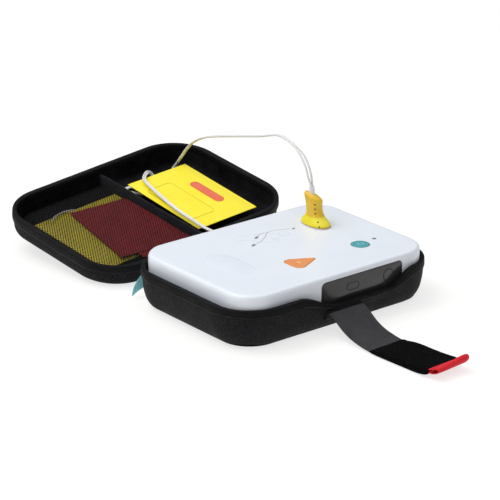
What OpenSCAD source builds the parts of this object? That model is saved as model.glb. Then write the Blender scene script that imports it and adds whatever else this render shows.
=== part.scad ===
// Semi-automatic defibrillator in its moulded carry case, shown with the lid laid open.
// Millimetres. The origin is on the table under the middle of the case.
// +X runs along the hinge, +Y from the front wall to the hinge and +Z is up.

/* [Case] */
// Width of the case shell along the hinge
case_w = 292; // [286:1:310]
// Depth of the case shell from front to hinge
case_d = 217; // [214:1:230]
// Corner radius of the case seen from above
case_r = 56; // [48:1:64]
// Height of the tray rim above the table
tray_h = 48; // [44:1:54]
// How far the front wall dips below the rim
dip_depth = 17; // [0:1:22]
// Depth of the closed lid above the rim
lid_depth = 28.6; // [26:0.2:32]
// Angle that the open lid stands from closed
lid_open = 172; // [150:1:174]

/* [Device] */
// Width of the device
device_w = 269; // [240:1:270]
// Depth of the device
device_d = 197; // [180:1:198]
// Corner radius of the device seen from above
device_r = 34; // [26:1:40]
// Height of the device's top face above the table
device_top = 63; // [60:1:70]
// Travel of each push button
button_travel = 1.5; // [0.5:0.1:2]

/* [Strap] */
// Width of the closure strap
strap_w = 50; // [38:1:52]
// Thickness of the strap webbing
strap_t = 2; // [1.5:0.1:2.5]

/* [Leads] */
// Outer width of the paired pad leads
lead_d = 4.8; // [3.6:0.1:5.2]

/* [Hidden] */

$fn = 48;
corner_steps = 9;      // straight steps in each rounded corner
front_steps = 26;      // extra points along the front wall, so that its dip is smooth
case_round = case_r - 56;      // added to every corner radius of the case's profiles
device_round = device_r - 34;  // and of the device's profiles
dip_floor = 20;        // the front wall keeps its shape below this height
dip_left = [-62, -10];  // the dip falls between these places
dip_right = [64, 104];  // and rises again between these
rim_gap = 0.4;         // gap between the closed lid and the tray
lid_rim = tray_h + rim_gap;
hinge_at = [0, 124, 40.7];
hinge_dir = [1, 0.03, 0.04];

device_y = -2;         // the device sits a little to the front of the case
seam_z = 29;           // where the device's two housings meet
skin = 2.6;            // wall of the device's housings
fit_gap = 0.4;         // clearance around buttons and lenses
liner_z = 3.2;         // inner floor of the tray
liner_t = 1.2;

shock_at = [-15, -48.5];
power_at = [73.6, -47];
power_d = 21.4;
light_at = [98, -43];
light_d = 5.2;
grille_at = [-81, -6];
grille_w = 36;
grille_l = 70;
socket_at = [76, 34];
socket_w = 24;
socket_l = 40;
window_x = [-29, 89];  // ends of the smoked window in the front wall
window_y = -97.3;      // its inner face
window_z = [29.3, 57];
cell_d = 25.5;         // C cell
cell_l = 49;
cell_z = 21.5;
board_z = 43;
dome_z = 51.1;         // where a pressed button's stem stops, just over the keypad

strap_x = -3;
strap_root = [-111.5, 24.5];  // y and z where the strap leaves its anchor
strap_joint = [-186, 3.2];    // y and z where the webbing meets the padded end

plug_base_z = device_top + 0.8;
plug_top_z = 100;
lead_exit = [74, 38.2, 108];
// Places that the paired leads pass on the way from the plug to the arch's crown
plug_route = [
    lead_exit, [74, 42, 118], [75, 49, 131], [76, 62, 143], [77, 82, 151], [79, 105, 152]
];
// Places from the crown down into the lid, round behind the pouch and back over its top
lid_route = [
    [79, 106, 152], [82, 142, 141], [85, 194, 127], [89, 250, 111], [92, 281, 97],
    [94, 299, 83], [95, 312, 69], [94, 321, 57], [90, 325, 49], [81, 320, 45],
    [73, 308, 43], [61, 298, 41], [41, 295, 39], [27, 298, 38], [18, 306, 39],
    [14, 314, 40], [16, 321, 41], [24, 321, 41], [32, 312, 40], [42, 307, 41],
    [52, 311, 42], [57, 319, 46], [55, 323, 52], [47, 319, 56], [38, 312, 56],
    [31, 304, 55], [27, 294, 54], [24, 280, 52], [19, 247, 47], [16, 213, 42],
    [16, 184, 38], [18, 167, 34], [23, 157, 31], [31, 155, 27], [37, 161, 23],
    [38, 172, 21], [38, 182, 22]
];

// Colours
case_black = [0.10, 0.10, 0.11];
webbing_grey = [0.24, 0.24, 0.25];
shell_white = [0.93, 0.95, 0.98];
smoked = [0.16, 0.16, 0.17];
orange = [0.93, 0.60, 0.37];
teal = [0.29, 0.65, 0.69];
yellow = [0.98, 0.91, 0.18];
amber = [0.92, 0.75, 0.21];
red = [0.86, 0.24, 0.25];

// ---------- shared shapes ----------

function smooth(a, b, x) = let (t = min(1, max(0, (x - a) / (b - a)))) t * t * (3 - 2 * t);

function arc(cx, cy, r, a, steps = corner_steps) =
    [for (i = [0 : steps]) [cx + r * cos(a + 90 * i / steps), cy + r * sin(a + 90 * i / steps)]];

// A rounded rectangle, anticlockwise, with extra points along its front side
function ring(w, d, r, front = 0) = concat(
    [for (i = [1 : 1 : front]) [(w - 2 * r) * (i / (front + 1) - 0.5), -d / 2]],
    arc(w / 2 - r, r - d / 2, r, -90),
    arc(w / 2 - r, d / 2 - r, r, 0),
    arc(r - w / 2, d / 2 - r, r, 90),
    arc(r - w / 2, r - d / 2, r, 180));

function level(points, z) = [for (p = points) [p.x, p.y, z]];

function side_faces(n, a, b) =
    [for (i = [0 : n - 1]) [a * n + i, b * n + i, b * n + (i + 1) % n, a * n + (i + 1) % n]];

function middle(points) = [for (i = [0 : 2]) [for (p = points) p[i]] * [for (p = points) 1]]
    / len(points);

// A solid through stacked rings. Fans close the ends, or plain faces where a ring is hollow-sided
module loft(rings, fans = true) {
    n = len(rings[0]);
    last = len(rings) - 1;
    low = n * (last + 1);
    polyhedron(
        points = concat([for (r = rings) each r],
            fans ? [middle(rings[0]), middle(rings[last])] : []),
        faces = concat(
            [for (j = [0 : last - 1]) each side_faces(n, j, j + 1)],
            fans ? [for (i = [0 : n - 1]) [low, i, (i + 1) % n]] : [[for (i = [0 : n - 1]) i]],
            fans ? [for (i = [0 : n - 1]) [low + 1, last * n + (i + 1) % n, last * n + i]]
                : [[for (i = [n - 1 : -1 : 0]) last * n + i]]));
}

// A closed band whose section is the list of rings taken in turn
module band(rings) {
    n = len(rings[0]);
    m = len(rings);
    polyhedron(
        points = [for (r = rings) each r],
        faces = [for (j = [0 : m - 1]) each side_faces(n, j, (j + 1) % m)]);
}

module slab(w, d, r, h) {
    linear_extrude(h) {
        square([w - 2 * r, d], center = true);
        square([w, d - 2 * r], center = true);
        for (x = [-1, 1], y = [-1, 1])
            translate([x * (w / 2 - r), y * (d / 2 - r)]) circle(r);
    }
}

// A flat oval with round ends, long way along Y
module oval(w, l, h) {
    linear_extrude(h) {
        square([w, l - w], center = true);
        for (y = [-1, 1]) translate([0, y * (l - w) / 2]) circle(w / 2);
    }
}

function unit(v) = v / norm(v);

// A smooth curve through the places of a route
function bend(a, b, c, d, t) =
    0.5 * (2 * b + (c - a) * t + (2 * a - 5 * b + 4 * c - d) * t * t
        + (3 * b - a - 3 * c + d) * t * t * t);

function curve(route, steps) = let (n = len(route) - 1) concat(
    [for (i = [0 : n - 1], k = [0 : steps - 1])
        bend(route[max(0, i - 1)], route[i], route[i + 1], route[min(n, i + 2)], k / steps)],
    [route[n]]);

function headings(p) = let (n = len(p) - 1)
    [for (i = [0 : n]) unit(p[min(n, i + 1)] - p[max(0, i - 1)])];

// Sideways directions that turn with the curve and never twist
function sideways(t, i = 0, from = [1, 0, 0]) = i == len(t) ? [] :
    let (u = unit(from - (from * t[i]) * t[i])) concat([u], sideways(t, i + 1, u));

module tube(path, d, sides = 8) {
    t = headings(path);
    u = sideways(t);
    loft([for (i = [0 : len(path) - 1])
        [for (k = [0 : sides - 1]) let (a = 360 * k / sides)
            path[i] + d / 2 * (cos(a) * u[i] + sin(a) * cross(t[i], u[i]))]]);
}

// ---------- tray ----------

function rim_at(p) = tray_h - (p.y > -case_d / 4 ? 0 :
    dip_depth * smooth(dip_left[0], dip_left[1], p.x)
        * (1 - smooth(dip_right[0], dip_right[1], p.x)));

function dipped(p, z) = z <= dip_floor ? z :
    dip_floor + (z - dip_floor) * (rim_at(p) - dip_floor) / (tray_h - dip_floor);

// Each entry of a tray profile is [inset, height, corner radius]
function tray_ring(s) =
    [for (p = ring(case_w - 2 * s[0], case_d - 2 * s[0], s[2] + case_round, front_steps))
        [p.x, p.y, dipped(p, s[1])]];

tray_profile = [
    [24, 0, 30], [17, 0.8, 34], [12.4, 3.5, 38], [8.5, 8, 42], [5, 15, 47], [2.5, 24, 51],
    [0.7, 37, 55], [0.2, 42, 56], [0, 46.6, 56],
    [6.5, 46.6, 43], [6.8, 41, 42.8], [7.6, 24, 41.6], [9.5, 10, 39], [13, liner_z, 34]
];

tray_trim = [
    [-0.2, 37, 56], [-0.9, 38.5, 57], [-0.9, 46.6, 57], [-0.2, 47.6, 56], [0.8, 48, 55],
    [5.6, 48, 44], [6.6, 47.6, 43], [6.9, 46.6, 42.5], [7, 41, 42.5],
    [6.8, 41, 42.8], [6.5, 46.6, 43], [0, 46.6, 56], [0.2, 42, 56], [0.7, 37, 55]
];

module tray_shell() color(case_black) loft([for (s = tray_profile) tray_ring(s)]);

module tray_binding() color(case_black) band([for (s = tray_trim) tray_ring(s)]);

module tray_liner() color(webbing_grey)
    translate([0, 0, liner_z]) slab(case_w - 34, case_d - 34, 28, liner_t);

// Patch that the strap is sewn to, on the front wall below the dip
module strap_anchor() color(webbing_grey) translate([strap_x, 0, 0])
    rotate([90, 0, 90]) linear_extrude(strap_w, center = true)
        polygon([[-103.7, 15], [-105.1, 20], [-106.2, 21.7], [-107.9, 26.4], [-110.3, 26.4],
            [-110.3, 22.5], [-106.5, 16.5], [-105, 14.6]]);

// ---------- lid, described closed and then swung open ----------

module swung() translate(hinge_at) rotate(a = -lid_open, v = hinge_dir)
    translate(-hinge_at) children();

// Each entry of a lid profile is [inset, height above the rim, corner radius]
function lid_ring(s) =
    level(ring(case_w - 2 * s[0], case_d - 2 * s[0], s[2] + case_round), lid_rim + s[1]);

lid_profile = [
    [11, lid_depth - 3, 38], [8.5, 22, 41], [6.8, 7, 42.8], [6.5, 1.4, 43],
    [0, 1.4, 56], [0.2, 6, 56], [0.7, 11, 55.4], [1.2, 18, 54.5], [2.4, 23, 53],
    [5, lid_depth - 3, 50], [9, lid_depth - 0.8, 46], [15, lid_depth, 40]
];

lid_trim = [
    [6.8, 7, 42.8], [7.4, 7, 42.2], [7.1, 1.4, 42.5], [6.6, 0.4, 43], [5.6, 0, 44],
    [0.8, 0, 55], [-0.2, 0.4, 56], [-0.9, 1.4, 57], [-0.9, 9.5, 57], [-0.2, 11, 56],
    [0.7, 11, 55.4], [0.2, 6, 56], [0, 1.4, 56], [6.5, 1.4, 43]
];

lid_roof = lid_rim + lid_depth - 3;
lid_liner_t = 1;
lid_inner = lid_roof - lid_liner_t;

module lid_shell() color(case_black) swung() loft([for (s = lid_profile) lid_ring(s)]);

module lid_binding() color(case_black) swung() band([for (s = lid_trim) lid_ring(s)]);

module lid_liner() color(webbing_grey) swung()
    translate([0, 0, lid_inner]) slab(case_w - 26, case_d - 26, 34, lid_liner_t);

divider_x = 11;
divider_edge = lid_rim + 8;    // free edge of the divider
net_z = lid_rim + 16;
net_t = 0.8;
net_x = [-131, 8.5];
net_y = [-94, 90];
packet_z = net_z + 3.8;
pouch_z = lid_rim + 9;
pouch_t = 9;
pouch_at = [64, 9];

module lid_divider() color(case_black) swung()
    translate([divider_x - 1.8, -98, divider_edge]) cube([3.6, 196, lid_inner - divider_edge]);

// The strap's padded end lands here when the case is shut
module hook_patch() color(webbing_grey) swung()
    translate([strap_x, -62, lid_rim + lid_depth]) slab(strap_w, 60, 4, 1.2);

module net_pocket() color([0.2, 0.2, 0.2, 0.5]) swung() hull() {
    translate([(net_x[0] + net_x[1]) / 2, (net_y[0] + net_y[1]) / 2, net_z])
        slab(net_x[1] - net_x[0], net_y[1] - net_y[0], 34, net_t);
    translate([net_x[1] - 50, net_y[0], net_z]) cube([50, net_y[1] - net_y[0], net_t]);
}

// Elastic edge of the net along the hinge side
module net_trim() color(case_black) swung()
    translate([-61, net_y[1] + 0.2, net_z - 1]) rotate([0, 90, 0])
        translate([0, 1.6, 0]) cylinder(h = 136, d = 3, center = true);

module spare_packet() color(yellow) swung()
    translate([-54, -2, packet_z]) slab(124, 134, 10, 4);

// Two leaflets, one fanned out over the other
module leaflet() color(red) swung() {
    translate([-70, -60, net_z + net_t + 0.3]) rotate([0, 0, 9]) cube([76, 122, 0.8]);
    translate([-67, -46, net_z + net_t + 1.3]) cube([75, 122, 0.8]);
}

// End of the spare pads' lead, lying over their packet
module packet_lead() color(shell_white) swung()
    tube(curve([[-98, -57, 66.7], [-92, -63, 66.7], [-82, -67, 66.7], [-70, -67.5, 66.7],
        [-59, -63.5, 66.7]], 3), 2.2);

module pads_pouch() color(yellow) swung()
    translate([pouch_at.x, pouch_at.y, pouch_z]) rotate([0, 0, 2]) slab(90, 138, 4, pouch_t);

module pouch_label() color(red) swung()
    translate([pouch_at.x + 20, pouch_at.y + 5, pouch_z - 0.3]) rotate([0, 0, 2]) oval(13, 58, 0.3);

// ---------- fabric between tray and lid ----------

function swing(p) = let (k = unit(hinge_dir), v = p - hinge_at, a = -lid_open)
    hinge_at + v * cos(a) + cross(k, v) * sin(a) + k * (k * v) * (1 - cos(a));

function hinge_section(x) = concat(
    [[x, 109.5, 39], [x, 111, 39.2], [x, 112, 45], [x, 114.5, 47.4], [x, 118, 47.1],
        [x, 125.5, 42.6]],
    [swing([x, 114.5, 49.9]), swing([x, 112, 53]), swing([x, 110.9, 59]),
        swing([x, 109.5, 59.2])],
    [swing([x, 109.5, 49.2]), swing([x, 114, 48.2])],
    [[x, 126, 44.4], [x, 118, 48.9], [x, 113, 49], [x, 109.5, 47.4]]);

module hinge_fabric() color(case_black) loft([hinge_section(-84), hinge_section(84)], fans = false);

// Ribbon sewn into the hinge seam at the left, its end lying towards the table
module ribbon_tag() color(teal) translate([0, 111.1, 0]) rotate([90, 0, 0])
    linear_extrude(0.6)
        polygon([[-86, 36], [-100, 36], [-128, 15.5], [-132, 2], [-124, 6], [-112, 9],
            [-102, 15], [-86, 23]]);

// ---------- device housings ----------

module on_device() translate([0, device_y, 0]) children();

function device_ring(s) =
    level(ring(device_w - 2 * s[0], device_d - 2 * s[0], s[2] + device_round), s[1]);

top_profile = [
    [8, device_top - skin, 27], [4, device_top - 5.2, 31], [skin, 52, 32], [3, seam_z, 31.5],
    [0.5, seam_z, 33.6], [0, 50, 34], [0, 58.4, 34], [0.6, 60.8, 33.5], [1.9, 62.4, 32.4],
    [4, device_top, 30.5]
];

bottom_profile = [
    [13, 5, 24], [8, 6, 28], [4, 10, 31], [1.5, 20, 33], [0.6, seam_z, 33.6],
    [3.1, seam_z, 31.5], [4, 20, 31], [6.6, 10.5, 28.6], [11, 7.8, 25]
];

module triangle_button(grow, h) {
    linear_extrude(h) hull() {
        translate([-22, -40.5]) circle(8 + grow);
        translate([-22, -54]) circle(8 + grow);
        translate([3, -48]) circle(2.6 + grow);
    }
}

battery_x = 12;        // middle of the battery bay
battery_y = 8;
bay_l = 3 * cell_l + 12;
bay_w = 2 * cell_d + 6;
screw_spots = [for (x = [-104, -50, 104], y = [-84, 82]) [x, y]];
board_spots = [for (x = [-96, 108], y = [-62, 62]) [x, y]];

module bottom_housing() color(shell_white) difference() {
    union() {
        on_device() loft([for (s = bottom_profile) device_ring(s)]);
        for (p = screw_spots) translate([p.x, p.y, 6.5]) cylinder(h = seam_z - 6.5, d = 9);
        for (p = board_spots) translate([p.x, p.y, 7]) cylinder(h = board_z - 7, d = 8);
    }
    translate([battery_x, battery_y, 4]) slab(bay_l - 4, bay_w - 4, 5, 6);
    for (p = screw_spots) translate([p.x, p.y, 4]) {
        cylinder(h = 26, d = 3.4);
        cylinder(h = 8, d = 6.6);
    }
    for (p = board_spots) translate([p.x, p.y, board_z - 9]) cylinder(h = 10, d = 2.2);
}

// The front window's outline, square below where it stands on the housings' seam
module window_plate(grow, t) translate([(window_x[0] + window_x[1]) / 2, 0, 0]) {
    w = window_x[1] - window_x[0] + 2 * grow;
    h = window_z[1] - window_z[0] + 2 * grow;
    translate([0, window_y + (t > 4 ? 1 : 0), (window_z[0] + window_z[1]) / 2])
        rotate([90, 0, 0]) slab(w, h, 6, t);
    translate([-w / 2, window_y + (t > 4 ? 1 : 0) - t, window_z[0] - grow])
        cube([w, t, 8]);
}

module top_housing() color(shell_white) difference() {
    union() {
        on_device() loft([for (s = top_profile) device_ring(s)]);
        for (p = screw_spots)
            translate([p.x, p.y, seam_z]) cylinder(h = device_top - skin + 0.6 - seam_z, d = 9);
    }
    for (p = screw_spots) translate([p.x, p.y, seam_z - 1]) cylinder(h = 18, d = 3.1);
    translate([power_at.x, power_at.y, 50]) cylinder(h = 20, d = power_d + 2 * fit_gap);
    translate([light_at.x, light_at.y, 50]) cylinder(h = 20, d = light_d + 0.1);
    translate([0, 0, 50]) triangle_button(fit_gap, 20);
    translate([grille_at.x, grille_at.y, 50]) oval(grille_w, grille_l, 20);
    translate([socket_at.x, socket_at.y, 50]) oval(socket_w, socket_l, 20);
    window_plate(0.1, 6);
}

module rubber_feet() color(case_black)
    for (x = [-1, 1], y = [-70, 66]) translate([x * 96, y, liner_z + liner_t])
        cylinder(h = 5 - liner_z - liner_t, d = 14);

module battery_door() color(shell_white) translate([battery_x, battery_y, 5.2]) {
    slab(bay_l - 5, bay_w - 5, 4.5, 2.4);
    translate([-bay_l / 2 + 16, 0, 0]) slab(16, 20, 3, 2.4);
}

module cell() {
    cylinder(h = cell_l - 2, d = cell_d);
    cylinder(h = cell_l - 0.2, d = 7);
}

module battery_cells() color(amber)
    for (row = [-1, 1], i = [-1, 0, 1])
        translate([battery_x + i * cell_l, battery_y + row * (cell_d / 2 + 0.6), cell_z])
            rotate([0, row * 90, 0]) translate([0, 0, -cell_l / 2]) cell();

module battery_contacts() color("silver")
    for (side = [-1, 1], row = [-1, 1])
        translate([battery_x + side * (1.5 * cell_l + 2.2), battery_y + row * (cell_d / 2 + 0.6),
            cell_z]) {
            cube([0.8, 18, 18], center = true);
            rotate([0, -side * 90, 0]) cylinder(h = 1.9, d1 = 12, d2 = 6);
        }

module main_board() color("darkgreen") difference() {
    translate([6, 0, board_z]) slab(216, 136, 3, 1.6);
    for (p = board_spots) translate([p.x, p.y, board_z - 1]) cylinder(h = 4, d = 3.2);
}

module board_parts() color([0.15, 0.15, 0.17]) {
    for (p = [[-20, 30], [14, 34], [20, 4]]) translate([p.x, p.y, board_z + 1.6]) slab(16, 16, 1, 2);
    for (i = [0 : 4]) translate([-46 + 9 * i, 56, board_z + 1.6]) cylinder(h = 9, d = 7);
    translate([44, 20, board_z + 1.6]) cube([8, 30, 4]);
    translate([-10, 50, board_z - 5]) cube([34, 10, 4.9]);
}

module board_screws() color("silver")
    for (p = board_spots) translate([p.x, p.y, board_z - 7]) {
        cylinder(h = 8.6, d = 2.2);
        translate([0, 0, 8.6]) cylinder(h = 1.6, d = 4.6);
    }

// Soft keypad on the board, with a dome under each button
module button_domes() color([0.5, 0.5, 0.52]) {
    for (p = [shock_at, power_at]) translate([p.x, p.y, board_z + 1.7]) {
        slab(22, 18, 3, 1.2);
        cylinder(h = 6, d1 = 12, d2 = 8);
    }
}

module speaker() color([0.2, 0.2, 0.21]) translate([grille_at.x, grille_at.y, board_z + 1.7]) {
    cylinder(h = 4, d = 30);
    translate([0, 0, 4]) cylinder(h = 7.5, d1 = 30, d2 = 54);
    translate([0, 0, 11.5]) difference() {
        cylinder(h = 2.2, d = 58);
        translate([0, 0, 0.6]) cylinder(h = 3, d = 50);
    }
}

module housing_screws() color("silver")
    for (p = screw_spots) translate([p.x, p.y, 9.6]) {
        cylinder(h = 2.4, d = 6);
        cylinder(h = 34, d = 3);
    }

module speaker_grille() color([0.88, 0.9, 0.94]) translate([grille_at.x, grille_at.y, 0])
    difference() {
        union() {
            translate([0, 0, device_top - skin - 0.4]) oval(grille_w - 0.1, grille_l - 0.1, skin);
            translate([0, 0, device_top - skin - 1.4]) oval(grille_w + 5, grille_l + 5, 1.3);
        }
        for (i = [-5 : 5], j = [-1, 1])
            translate([j * 7, i * 5, 50]) cube([9, 1.4, 40], center = true);
    }

// Smoked window that the remote receiver looks through
module front_window() color(smoked)
    window_plate(0, 3.6);

module front_board() color("darkgreen") translate([30, -90, 48]) rotate([90, 0, 0])
    slab(92, 16, 2, 1.6);

module ir_receiver() color([0.1, 0.1, 0.12]) {
    translate([5, -91.7, 48]) rotate([90, 0, 0]) slab(12, 6, 2.4, 3);
    translate([58, -91.7, 48]) rotate([90, 0, 0]) cylinder(h = 4, d = 9);
}

module pads_socket() color([0.86, 0.88, 0.92]) translate([socket_at.x, socket_at.y, 0])
    difference() {
        union() {
            translate([0, 0, 46.7]) oval(socket_w - 0.1, socket_l - 0.1, device_top - 46.2);
            translate([0, 0, device_top + 0.05]) oval(socket_w + 1, socket_l + 1, 0.6);
        }
        translate([0, 0, 49]) slab(9.6, 23.6, 2.2, 20);
        for (y = [-6, 0, 6]) translate([0, y, 45]) cylinder(h = 6, d = 2);
    }

module socket_contacts() color("gold") translate([socket_at.x, socket_at.y, 0])
    for (y = [-6, 0, 6]) translate([0, y, board_z + 1.8]) cylinder(h = 14, d = 1.9);

module status_light() color([0.55, 0.6, 0.62]) translate([light_at.x, light_at.y, 0]) {
    translate([0, 0, board_z + 1.7]) cylinder(h = 18.8, d = light_d);
    translate([0, 0, device_top - 0.6]) cylinder(h = 0.7, d = light_d);
    translate([0, 0, device_top - 3.4]) difference() {
        cylinder(h = 0.7, d = light_d + 2);
        translate([0, 0, -1]) cylinder(h = 3, d = light_d - 1);
    }
}

module shock_button() color(orange) {
    translate([0, 0, device_top - 4.2]) triangle_button(0, 4.8);
    translate([0, 0, device_top - 5.4]) triangle_button(1.6, 1.2);
    translate([shock_at.x, shock_at.y, dome_z + button_travel]) cylinder(h = 6, d = 6);
}

module power_button() color(teal) translate([power_at.x, power_at.y, 0]) {
    translate([0, 0, device_top - 4.2]) cylinder(h = 4.9, d = power_d);
    translate([0, 0, device_top - 5.4]) cylinder(h = 1.3, d = power_d + 3);
    translate([0, 0, dome_z + button_travel]) cylinder(h = 6, d = 6);
}

// ---------- plug ----------

// Each entry is [height, middle x, middle y, half width, half length]
plug_profile = [
    [plug_base_z, 76.4, 34, 11.6, 20.2], [plug_base_z + 2.6, 76.4, 34, 12.4, 21],
    [69, 76.3, 34.4, 11.3, 18.6], [72.5, 76.2, 34.9, 9.8, 14.2], [77, 76.2, 35.4, 8.8, 10.8],
    [84, 76, 36, 8.4, 9.8], [91, 75.8, 36.6, 8.6, 10.6], [95.5, 75.4, 37.1, 9, 11.4],
    [98.4, 74.8, 37.8, 7.8, 10], [plug_top_z, 74, 38.6, 4.6, 6]
];
plug_slope = 0.36;     // fall of the plug's top towards its front right side

// How far the plug's top lies below its middle at a place, and the ring there
function fall(p) = plug_slope * (0.78 * (p.x - 75) - 0.63 * (p.y - 37.5));

function plug_ring(s, steps = 28) =
    [for (i = [0 : steps - 1]) let (a = 360 * i / steps,
            p = [s[1] + s[3] * cos(a), s[2] + s[4] * sin(a)])
        [p.x, p.y, s[0] - fall(p) * smooth(86, 100, s[0])]];

module plug_shell() color(amber) loft([for (s = plug_profile) plug_ring(s)]);

module plug_blade() color([0.3, 0.3, 0.32]) translate([socket_at.x, socket_at.y, 0])
    difference() {
        translate([0, 0, 52]) slab(8.8, 22.8, 2, plug_base_z - 52);
        for (y = [-6, 0, 6]) translate([0, y, 51]) cylinder(h = 9, d = 2.2);
    }

module plug_boot() color(shell_white) translate([74, 38.4, plug_top_z - 0.8])
    cylinder(h = 7.8, d1 = 8, d2 = 6);

// ---------- strap ----------

function thick(path, t) =
    let (h = headings(path), n = len(path) - 1)
    concat(
        [for (i = [0 : n]) path[i] + t / 2 * [-h[i].y, h[i].x]],
        [for (i = [n : -1 : 0]) path[i] - t / 2 * [-h[i].y, h[i].x]]);

strap_line = [strap_root, [-117, 23.2], [-125, 18.2], [-136, 11.6], [-149, 6.6], [-164, 3.8],
    [-178, 2.5], strap_joint + [1.2, -0.9]];

module along_x(w) rotate([90, 0, 90]) linear_extrude(w, center = true) children();

module strap_webbing() color(webbing_grey) translate([strap_x, 0, 0])
    along_x(strap_w) polygon(thick(strap_line, strap_t));

module strap_end() translate([strap_x, strap_joint.x, 0]) rotate([0, 0, 3])
    translate([0, -strap_joint.x, 0]) children();

module strap_pad() color(case_black) strap_end() along_x(strap_w + 1)
    polygon([[-188.2, 0.8], [-191, 0.3], [-246, 0.3], [-262, 3.2], [-264, 6.5], [-260, 9.5],
        [-244, 8], [-196, 7.4], [-191, 5.5], [-188.2, 3.8]]);

module pull_tab() color(red) strap_end() along_x(strap_w - 3)
    polygon([[-264.2, 5.4], [-263.2, 9.8], [-269, 11.4], [-275, 13.8], [-277.8, 13.4],
        [-278.5, 10.6], [-275, 8], [-270, 6.3]]);

// ---------- pad leads ----------

module lead_plug_side() color(shell_white) tube(curve(plug_route, 3), lead_d);

module lead_lid_side() color(shell_white) tube(curve(lid_route, 2), lead_d);

tray_shell();
tray_binding();
tray_liner();
strap_anchor();
hinge_fabric();
ribbon_tag();
bottom_housing();
rubber_feet();
battery_door();
battery_cells();
battery_contacts();
main_board();
board_parts();
board_screws();
button_domes();
speaker();
housing_screws();
top_housing();
speaker_grille();
front_window();
front_board();
ir_receiver();
pads_socket();
socket_contacts();
status_light();
shock_button();
power_button();
plug_shell();
plug_blade();
plug_boot();
lid_shell();
lid_binding();
lid_liner();
lid_divider();
hook_patch();
net_pocket();
net_trim();
spare_packet();
leaflet();
packet_lead();
pads_pouch();
pouch_label();
strap_webbing();
strap_pad();
pull_tab();
lead_plug_side();
lead_lid_side();
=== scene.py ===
"""Looks of a defibrillator in its moulded carry case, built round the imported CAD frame.

Everything is in metres in the frame's axes; shapes are written in millimetres and scaled once.
"""
import math

import bmesh
import bpy
import numpy as np
from mathutils import Matrix, Vector, noise


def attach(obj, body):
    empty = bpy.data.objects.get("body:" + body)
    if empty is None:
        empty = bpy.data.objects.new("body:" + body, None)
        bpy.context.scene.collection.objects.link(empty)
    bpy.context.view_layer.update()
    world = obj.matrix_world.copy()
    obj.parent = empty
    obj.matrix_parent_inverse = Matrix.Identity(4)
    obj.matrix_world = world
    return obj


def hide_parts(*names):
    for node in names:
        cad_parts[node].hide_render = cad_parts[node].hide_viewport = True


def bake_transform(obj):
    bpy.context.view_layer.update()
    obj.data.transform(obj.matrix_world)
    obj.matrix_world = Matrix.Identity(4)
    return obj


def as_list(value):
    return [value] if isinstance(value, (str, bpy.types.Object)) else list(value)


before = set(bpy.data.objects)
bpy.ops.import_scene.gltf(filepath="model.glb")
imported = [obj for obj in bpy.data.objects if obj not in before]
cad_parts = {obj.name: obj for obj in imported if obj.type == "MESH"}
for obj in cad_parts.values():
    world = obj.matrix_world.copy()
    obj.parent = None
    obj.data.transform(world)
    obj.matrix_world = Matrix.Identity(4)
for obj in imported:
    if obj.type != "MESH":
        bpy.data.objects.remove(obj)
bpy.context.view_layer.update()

MM = 0.001
UP = np.array([0, 0, 1.0])
SHARP = math.radians(38)  # edges that turn more than this stay crisp
CASE_W, CASE_D = 292, 217
DEVICE_W, DEVICE_D = 269, 197

# The lid's turning axis, and the turn that lays a lid drawn closed open behind the tray
HINGE = np.array([0, 124, 40.7])
HINGE_AXIS = Vector((1, 0.03, 0.04)).normalized()
LID_TURN = np.array(Matrix.Rotation(math.radians(-172), 3, HINGE_AXIS))


# ---------- camera ----------

def make_camera():
    azimuth, elevation, distance = math.radians(-38.874), math.radians(20.865), 2.9118
    target = Vector((0.06918, 0.14552, 0))
    back = Vector((math.sin(azimuth) * math.cos(elevation),
                   -math.cos(azimuth) * math.cos(elevation), math.sin(elevation)))
    data = bpy.data.cameras.new("camera")
    data.sensor_width, data.lens = 36, 175.85
    data.clip_start, data.clip_end = 0.05, 60
    cam = bpy.data.objects.new("camera", data)
    bpy.context.scene.collection.objects.link(cam)
    cam.location = target + back * distance
    cam.rotation_euler = (-back).to_track_quat("-Z", "Y").to_euler()
    bpy.context.scene.camera = cam


make_camera()


# ---------- curves and outlines ----------

def spline(points, steps, closed=False):
    """Catmull-Rom through the rows of points."""
    p = np.asarray(points, float)
    n = len(p)
    at = (lambda i: p[i % n]) if closed else (lambda i: p[min(max(i, 0), n - 1)])
    out = []
    for i in range(n if closed else n - 1):
        a, b, c, d = at(i - 1), at(i), at(i + 1), at(i + 2)
        for t in np.arange(steps) / steps:
            out.append(0.5 * (2 * b + (c - a) * t + (2 * a - 5 * b + 4 * c - d) * t * t
                              + (3 * b - a - 3 * c + d) * t ** 3))
    return np.array(out if closed else out + [p[-1]])


def smooth(a, b, x):
    """Eases from 0 at a to 1 at b."""
    t = np.clip((np.asarray(x, float) - a) / (b - a), 0, 1)
    return t * t * (3 - 2 * t)


def rounded(w, d, r, corner=20, front=70, side=26):
    """An anticlockwise rounded rectangle centred on the origin, with points along its sides."""
    hw, hd = w / 2, d / 2
    def arc(cx, cy, start):
        a = np.radians(start + np.linspace(0, 90, corner + 1))
        return np.c_[cx + r * np.cos(a), cy + r * np.sin(a)]
    def run(a, b, n):
        return np.linspace(a, b, n + 2)[1:-1]
    return np.vstack([
        run((r - hw, -hd), (hw - r, -hd), front), arc(hw - r, r - hd, -90),
        run((hw, r - hd), (hw, hd - r), side), arc(hw - r, hd - r, 0),
        run((hw - r, hd), (r - hw, hd), front), arc(r - hw, hd - r, 90),
        run((-hw, hd - r), (-hw, r - hd), side), arc(r - hw, r - hd, 180)])


def hull(circles, grow=0, n=96):
    """Outline of the hull of circles [x, y, r], a point for each direction it faces."""
    c = np.asarray(circles, float)
    a = np.arange(n) / n * 2 * np.pi
    face = np.c_[np.cos(a), np.sin(a)]
    best = np.argmax(face @ c[:, :2].T + c[:, 2], axis=1)
    return c[best, :2] + face * (c[best, 2] + grow)[:, None]


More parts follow.
